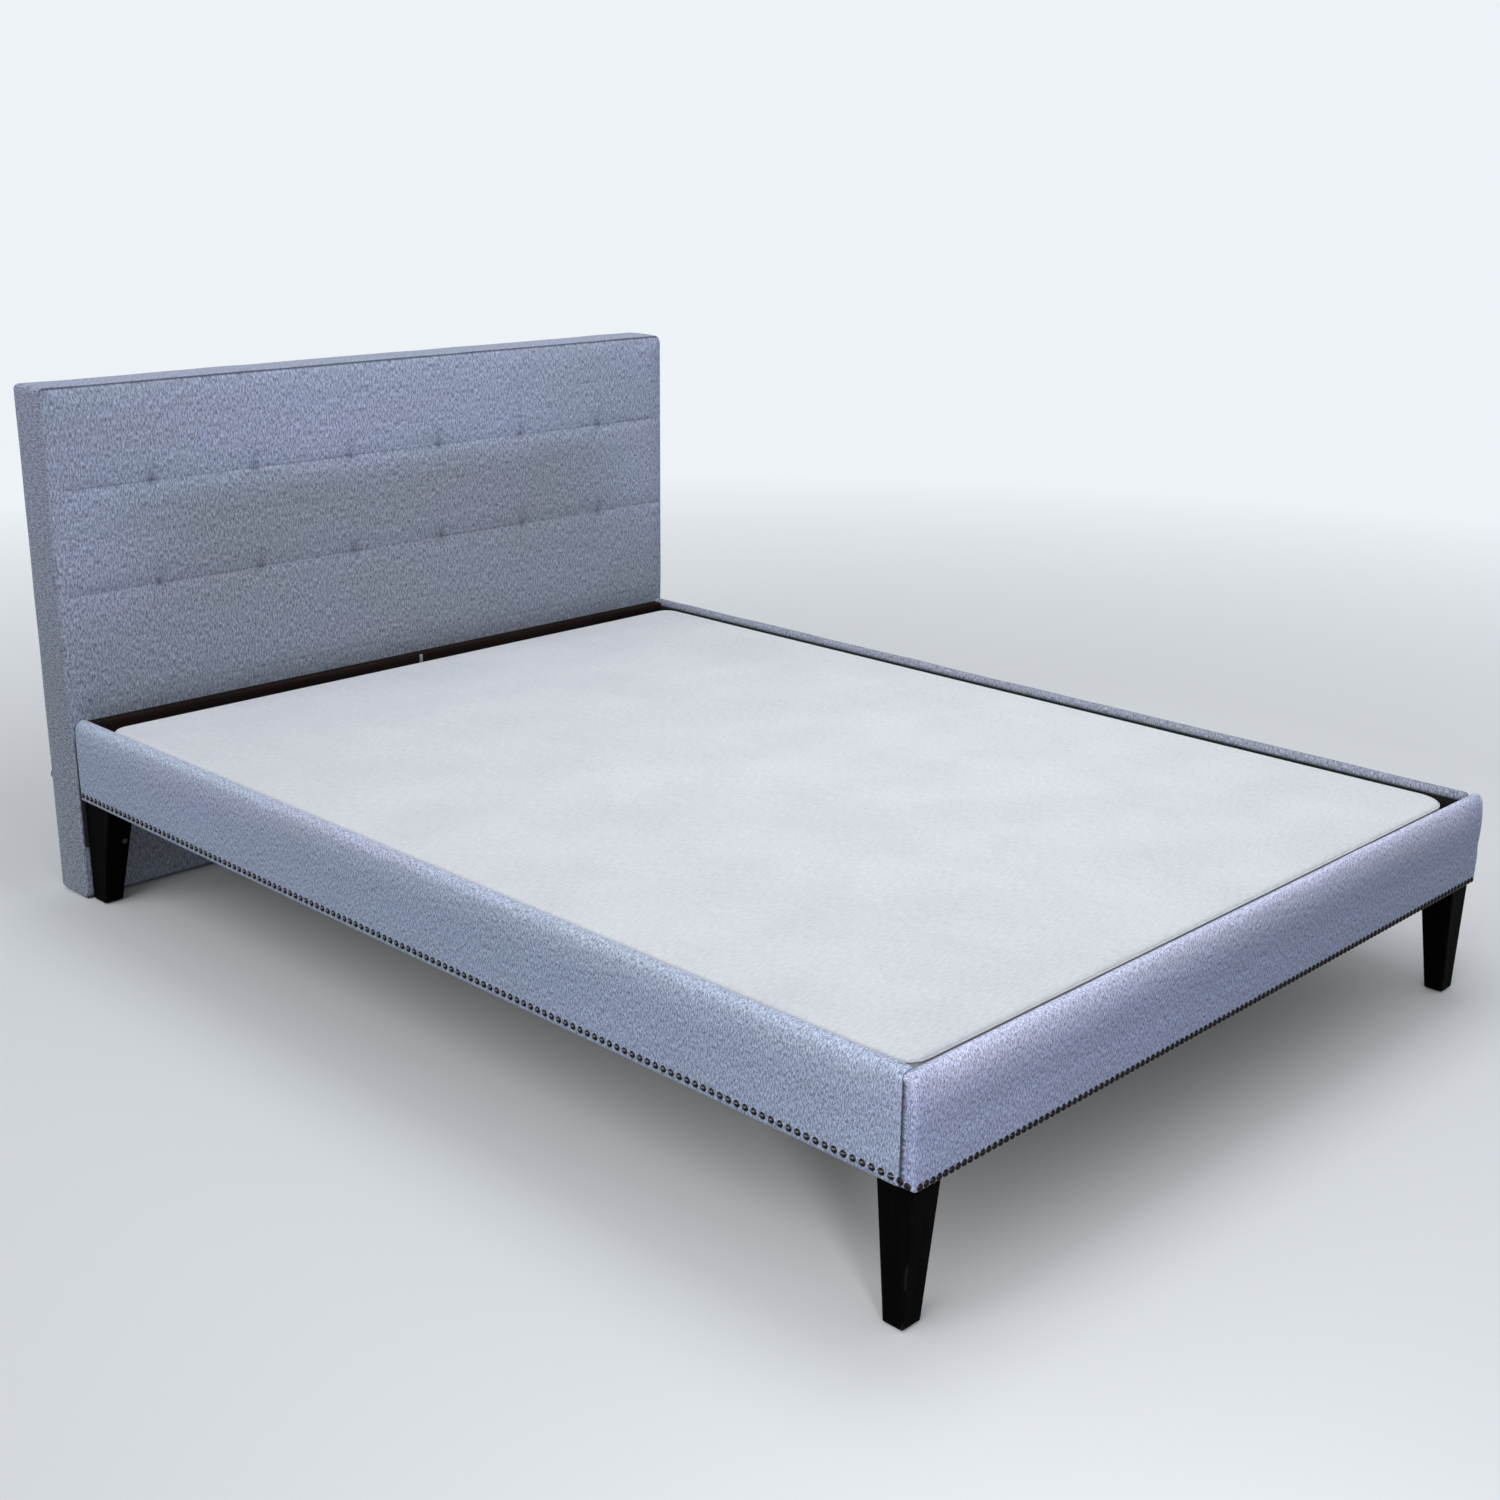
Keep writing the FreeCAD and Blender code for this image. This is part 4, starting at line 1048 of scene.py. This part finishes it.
# %% Woods
turns = {0: None, 1: (0, 0, math.pi / 2), 2: (0, math.pi / 2, 0)}
woods = {  # light, dark, roughness, bump strength
    "pine": (rgb(0.74, 0.56, 0.34), rgb(0.56, 0.37, 0.19), 0.62, 0.3),
    "plywood": (rgb(0.70, 0.54, 0.35), rgb(0.52, 0.37, 0.21), 0.6, 0.3),
    "espresso_wood": (rgb(0.022, 0.014, 0.012), rgb(0.009, 0.006, 0.006), 0.5, 0.2),
}


def wood(slot, axis):
    """Wood finish of a slot, its grain along an axis. Each is made once."""
    name = slot + "_along_" + "xyz"[axis]
    if name in bpy.data.materials:
        return bpy.data.materials[name]
    light, dark, roughness, strength = woods[slot]
    inputs = {"Light": light, "Dark": dark}
    gloss = 0.03 if slot == "espresso_wood" else 0.4
    look = {"turn": turns[axis], "rough_spread": 0.15, "Specular_IOR_Level": gloss}
    return finish(name, grain, inputs, roughness, (strength, 0.0006), **look)


leg_inputs = {"Light": rgb(0.0024, 0.0022, 0.0022), "Dark": rgb(0.0010, 0.0010, 0.0010)}
leg_look = {"turn": turns[2], "rough_spread": 0.15, "Specular_IOR_Level": 0.012}
leg_stain = finish("leg_stain", grain, leg_inputs, 0.5, (0.2, 0.0005), **leg_look)
leg_tree = leg_stain.node_tree
leg_colour = leg_tree.nodes["Principled BSDF"].inputs["Base Color"]
leg_edge = put(leg_tree, "Attribute", attribute_name="edge").outputs["Fac"]
leg_place = put(leg_tree, "TexCoord").outputs["Object"]
leg_chips = stretch(leg_tree, noise(leg_tree, leg_place, (60, 60, 22), 4.0, 0.7), 0.52, 0.66)
leg_worn = calc(leg_tree, "MULTIPLY", leg_edge, leg_chips)
leg_bare = mix(leg_tree, leg_worn, leg_colour.links[0].from_socket, rgb(0.05, 0.036, 0.028))
leg_tree.links.new(leg_bare, leg_colour)
print("woods:", list(woods), "and", leg_stain.name)

# %% [markdown]
# ## All other finishes
#
# The visible ticking is the fleece. The rest are two tones of one colour in a mottle. Only
# the tones, the size of the specks, the roughness, the relief and whether it is metal change,
# so they are rows of one table. A nail needs more: its dark dome gets a painted highlight, a
# small bright spot above its middle.

# %% Ticking, foam, metals and nails
fleece_inputs = {"Light": rgb(0.85, 0.872, 0.900), "Dark": rgb(0.565, 0.598, 0.655)}
ticking_look = {"uv": True, "Sheen_Weight": 0.1}
ticking_cloth = finish("ticking_fleece", fleece, fleece_inputs, 0.92, (0.4, 0.0005), **ticking_look)
mottles = {  # light, dark, size, roughness, bump, metallic
    "foam": (rgb(0.86, 0.80, 0.58), rgb(0.78, 0.70, 0.47), 0.0018, 0.9, (0.5, 0.0006), 0.0),
    "felt": (rgb(0.80, 0.80, 0.77), rgb(0.66, 0.66, 0.64), 0.004, 0.95, (0.5, 0.0006), 0.0),
    "twine": (rgb(0.72, 0.66, 0.54), rgb(0.55, 0.49, 0.38), 0.0012, 0.9, (0.5, 0.0003), 0.0),
    "back_cloth": (rgb(0.035, 0.035, 0.038), rgb(0.016, 0.016, 0.018), 0.0016, 0.9, (0.4, 0.0003), 0.0),
    "hardboard": (rgb(0.36, 0.22, 0.12), rgb(0.24, 0.14, 0.075), 0.003, 0.55, (0.3, 0.0003), 0.0),
    "black_nylon": (rgb(0.030, 0.030, 0.031), rgb(0.018, 0.018, 0.018), 0.002, 0.42, (0.2, 0.0002), 0.0),
    "black_rubber": (rgb(0.026, 0.026, 0.026), rgb(0.015, 0.015, 0.015), 0.003, 0.78, (0.3, 0.0003), 0.0),
    "black_steel": (rgb(0.022, 0.022, 0.024), rgb(0.012, 0.012, 0.013), 0.0012, 0.45, (0.35, 0.0002), 0.0),
    "zinc_steel": (rgb(0.68, 0.66, 0.62), rgb(0.52, 0.51, 0.48), 0.006, 0.45, (0.15, 0.0002), 1.0),
    "zinc_darkened": (rgb(0.10, 0.085, 0.075), rgb(0.05, 0.042, 0.036), 0.006, 0.5, (0.15, 0.0002), 1.0),
    "bronze_nails": (rgb(0.026, 0.024, 0.023), rgb(0.010, 0.009, 0.009), 0.004, 0.2, (0.15, 0.0002), 1.0),
    "ticking": (rgb(0.775, 0.80, 0.825), rgb(0.655, 0.685, 0.715), 0.004, 0.92, (0.4, 0.0005), 0.0),
    "upholstery_fabric": (rgb(0.41, 0.47, 0.65), rgb(0.28, 0.31, 0.44), 0.003, 0.88, (0.4, 0.0005), 0.0),
}


def plain(slot):
    """Mottled finish of a slot. Each is made once."""
    if slot + "_finish" in bpy.data.materials:
        return bpy.data.materials[slot + "_finish"]
    light, dark, size, roughness, bump, metallic = mottles[slot]
    inputs = {"Light": light, "Dark": dark, "Size": size}
    return finish(slot + "_finish", mottle, inputs, roughness, bump, metallic, rough_spread=0.12)


nail_radius = 0.0057


def nail_finish(node, shine):
    """Dark nail whose dome has a painted highlight: a bright metal spot above its middle.

    The spot is where the height is within 1.4 mm of 2 mm above the nail's centre, and where
    the dome stands out to its last 1.6 mm along X or towards -Y.
    """
    low, high = corners(node)
    middle_z = float(low[2]) + nail_radius
    outermost_x = float(np.abs([low[0], high[0]]).max())
    light, dark, size, roughness, bump, metallic = mottles["bronze_nails"]
    inputs = {"Light": light, "Dark": dark, "Size": size}
    material = finish(node + "_finish", mottle, inputs, roughness, bump, metallic)
    tree = material.node_tree
    place = put(tree, "SeparateXYZ", {0: put(tree, "TexCoord").outputs["Object"]}).outputs
    off = calc(tree, "ABSOLUTE", calc(tree, "SUBTRACT", place["Z"], middle_z + 0.002))
    band = stretch(tree, off, 0.0007, 0.0014, 1.0, 0.0)
    across = calc(tree, "SUBTRACT", calc(tree, "ABSOLUTE", place["X"]), outermost_x - 0.0016)
    along = calc(tree, "SUBTRACT", float(low[1]) + 0.0016, place["Y"])
    proud = stretch(tree, calc(tree, "MAXIMUM", across, along), 0.0, 0.0006)
    # Painted highlight: the mask of the bright spot on each dome.
    spot = calc(tree, "MULTIPLY", band, proud)
    colour = tree.nodes["Principled BSDF"].inputs["Base Color"]
    bright = rgb(shine, shine, 1.08 * shine)
    tree.links.new(mix(tree, spot, colour.links[0].from_socket, bright), colour)
    return material


print("mottled finishes:", len(mottles))

# %% [markdown]
# ## Dress every part
#
# CAD parts keep their shape and only get a better finish, found by the name of the slot that
# their plain material carries. Wood grain runs along a part's longest side. Then each new
# piece gets its material and the body it rides on, and the CAD parts it stands for are hidden.

# %% CAD finishes
slots = [row["slot"] for row in frame["record"]["materials"]]
for name, part in nodes.items():
    low, high = corners(name)
    for place in part.material_slots:
        slot = next(word for word in slots if word in place.material.name)
        if slot in woods:
            place.material = wood(slot, int(np.argmax(high - low)))
        elif slot == "bronze_nails":
            # Painted highlight on the nails: faint on the foot rail, brighter on the side rails.
            place.material = nail_finish(name, 0.02 if name.startswith("foot") else 0.16)
        elif slot == "zinc_steel" and "bolts" in name:
            # The bolts get a much darker, browner zinc than the other steel.
            place.material = plain("zinc_darkened")
        else:
            place.material = plain(slot)
print("finishes:", sorted(material.name for material in bpy.data.materials if material.users))

# %% [markdown]
# ## Dress the new pieces
#
# The new pieces follow. A cover stands for the CAD cover, its foam and, on a rail, its
# lining. The stitches and the welt stand for nothing: they only ride along. The legs have
# said already which CAD legs they stand for.

# %% New pieces
def dress(piece, material, body, stands_for=()):
    """Material and body of a piece, and hides the CAD nodes that it stands for."""
    piece.data.materials.append(material)
    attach(piece, body)
    if stands_for:
        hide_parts(*stands_for)


dress(sleeve, upholstery, "frame", ["headboard_cover", "headboard_foam"])
dress(stitches, thread, "frame")
rails = {"side_rail_left": left_cloth, "side_rail_right": right_shaded_cloth, "foot_rail": foot_cloth}
for piece, (rail, cloth) in zip((*side_covers, foot_cover), rails.items()):
    parts = [rail + "_" + layer for layer in ("cover", "foam", "lining")]
    dress(piece, cloth, "frame", parts)
dress(ticking, ticking_cloth, "foundation", ["foundation_ticking", "foundation_pad"])
dress(welt, ticking_cloth, "foundation")
dress(dust_cover, plain("back_cloth"), "foundation", ["foundation_dust_cover"])
for leg in legs:
    dress(leg, leg_stain, "frame")
new_pieces = (sleeve, stitches, *side_covers, foot_cover, ticking, welt, dust_cover, *legs)
print("new pieces:", [piece.name for piece in new_pieces])

# %% [markdown]
# ## Studio
#
# A plain pale floor, a pale world, and soft light from above, from the left and from the
# near corner. The camera looks at the bed from that corner, a little rolled.

# %% Camera
azimuth, elevation, roll = (math.radians(angle) for angle in (-45.77, 17.35, 0.6))
camera_place = (-2.5592, -2.5576, 1.5127)
focal_over_width = 1976.4 / 1500
back = Vector((
    math.sin(azimuth) * math.cos(elevation),
    -math.cos(azimuth) * math.cos(elevation),
    math.sin(elevation),
))
right = (-back).cross(Vector((0, 0, 1))).normalized()
up = right.cross(-back)
cosine, sine = math.cos(roll), math.sin(roll)
right, up = right * cosine + up * sine, up * cosine - right * sine
camera_data = bpy.data.cameras.new("camera")
camera_data.sensor_width = 36.0
camera_data.lens = camera_data.sensor_width * focal_over_width
camera = bpy.data.objects.new("camera", camera_data)
turned = Matrix((right, up, back)).transposed().to_4x4()
camera.matrix_world = Matrix.Translation(camera_place) @ turned
scene.collection.objects.link(camera)
scene.camera = camera
print("lens %.1f mm" % camera_data.lens)

# %% [markdown]
# ## World and lamps
#
# The world lights the bed evenly and looks pale. A broad sun from the left lights the left
# rail more than the foot rail, a softbox overhead lights the deck and the headboard, and a
# low, small one beside the near corner brightens the two faces that meet there.

# %% World and lamps
pale = (0.849, 0.890, 0.924, 1.0)
world = bpy.data.worlds.new("studio")
world.use_nodes = True
sky = world.node_tree
sky.nodes.clear()
rays = put(sky, "LightPath").outputs
mirrored = calc(sky, "MAXIMUM", rays["Is Glossy Ray"], rays["Is Transmission Ray"])
seen = calc(sky, "MAXIMUM", rays["Is Camera Ray"], mirrored)
ambient = put(sky, "Background", {"Color": (0.95, 0.97, 1.0, 1.0), "Strength": 0.43}).outputs[0]
shown = put(sky, "Background", {"Color": pale, "Strength": 1.0}).outputs[0]
both = put(sky, "MixShader", {0: seen, 1: ambient, 2: shown}).outputs[0]
put(sky, "OutputWorld", {"Surface": both})
scene.world = world


def add_sun(name, towards, strength, width):
    """Soft lamp without a place: light along one direction, from a disc of the sky that wide."""
    data = bpy.data.lights.new(name, "SUN")
    data.energy = strength
    data.angle = math.radians(width)
    lamp = bpy.data.objects.new(name, data)
    lamp.rotation_mode = "QUATERNION"
    lamp.rotation_quaternion = Vector(towards).to_track_quat("-Z", "Y")
    scene.collection.objects.link(lamp)


def add_softbox(name, place, aim, power, width):
    """Square soft lamp at a place, aimed at a point, which the camera doesn't see itself."""
    data = bpy.data.lights.new(name, "AREA")
    data.energy = power
    data.size = width
    lamp = bpy.data.objects.new(name, data)
    lamp.location = place
    lamp.rotation_mode = "QUATERNION"
    lamp.rotation_quaternion = (Vector(aim) - Vector(place)).to_track_quat("-Z", "Y")
    lamp.visible_camera = False
    scene.collection.objects.link(lamp)


add_sun("key_light", (0.74, 0.10, -0.67), 1.15, 55)
add_softbox("top_light", (0.2, -0.5, 2.6), (0.2, 0.3, 0.3), 17.5, 1.2)
add_softbox("corner_light", (-1.65, -2.35, 0.7), (-0.4, -0.8, 0.3), 9.3, 0.25)

# %% [markdown]
# ## Floor
#
# The floor is one big square. Near the bed it is real and takes its shadow. Further out, and
# only where the camera looks at it directly or in a reflection, it turns into the same pale
# tone as the world behind. Rays that light the bed see a darker floor than the camera does,
# so that little light comes back up under the rails.

# %% Floor
def make_floor():
    """Large flat floor whose material fades to the world's tone from 2.2 to 5.5 m out."""
    mesh = bpy.data.meshes.new("studio_floor")
    mesh.from_pydata([(-60, -60, 0), (60, -60, 0), (60, 60, 0), (-60, 60, 0)], [], [(0, 1, 2, 3)])
    floor = bpy.data.objects.new("studio_floor", mesh)
    scene.collection.objects.link(floor)
    material = bpy.data.materials.new("studio_floor")
    material.use_nodes = True
    tree = material.node_tree
    shader = tree.nodes["Principled BSDF"]
    shader.inputs["Roughness"].default_value = 0.9
    place = put(tree, "TexCoord").outputs["Object"]
    distance = put(tree, "VectorMath", {0: place}, operation="LENGTH").outputs["Value"]
    rays = put(tree, "LightPath").outputs
    seen = calc(tree, "MAXIMUM", rays["Is Camera Ray"], rays["Is Glossy Ray"])
    tone = mix(tree, seen, (0.17, 0.175, 0.18, 1.0), (0.80, 0.825, 0.85, 1.0))
    tree.links.new(tone, shader.inputs["Base Color"])
    far = calc(tree, "MULTIPLY", stretch(tree, distance, 2.2, 5.5), seen)
    glow = put(tree, "Emission", {"Color": pale, "Strength": 1.0}).outputs[0]
    faded = put(tree, "MixShader", {0: far, 1: shader.outputs[0], 2: glow}).outputs[0]
    tree.links.new(faded, tree.nodes["Material Output"].inputs["Surface"])
    floor.data.materials.append(material)
    floor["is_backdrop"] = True


make_floor()
scene.view_settings.view_transform = "Standard"
print("view transform:", scene.view_settings.view_transform)

# %% [markdown]
#
# Last, the box of the CAD and the box of what is shown now are set side by side, and how far
# the second stands out of the first is printed in millimetres. The new pieces may stand out
# of the CAD box by a few millimetres only.

boxes = {"cad": [list(corner) for corner in cad_bounds], "visual": [list(corner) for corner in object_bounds()]}
growth = 1000 * (np.array(boxes["visual"]) - np.array(boxes["cad"]))
print("box growth in mm:", growth.round(1).tolist())
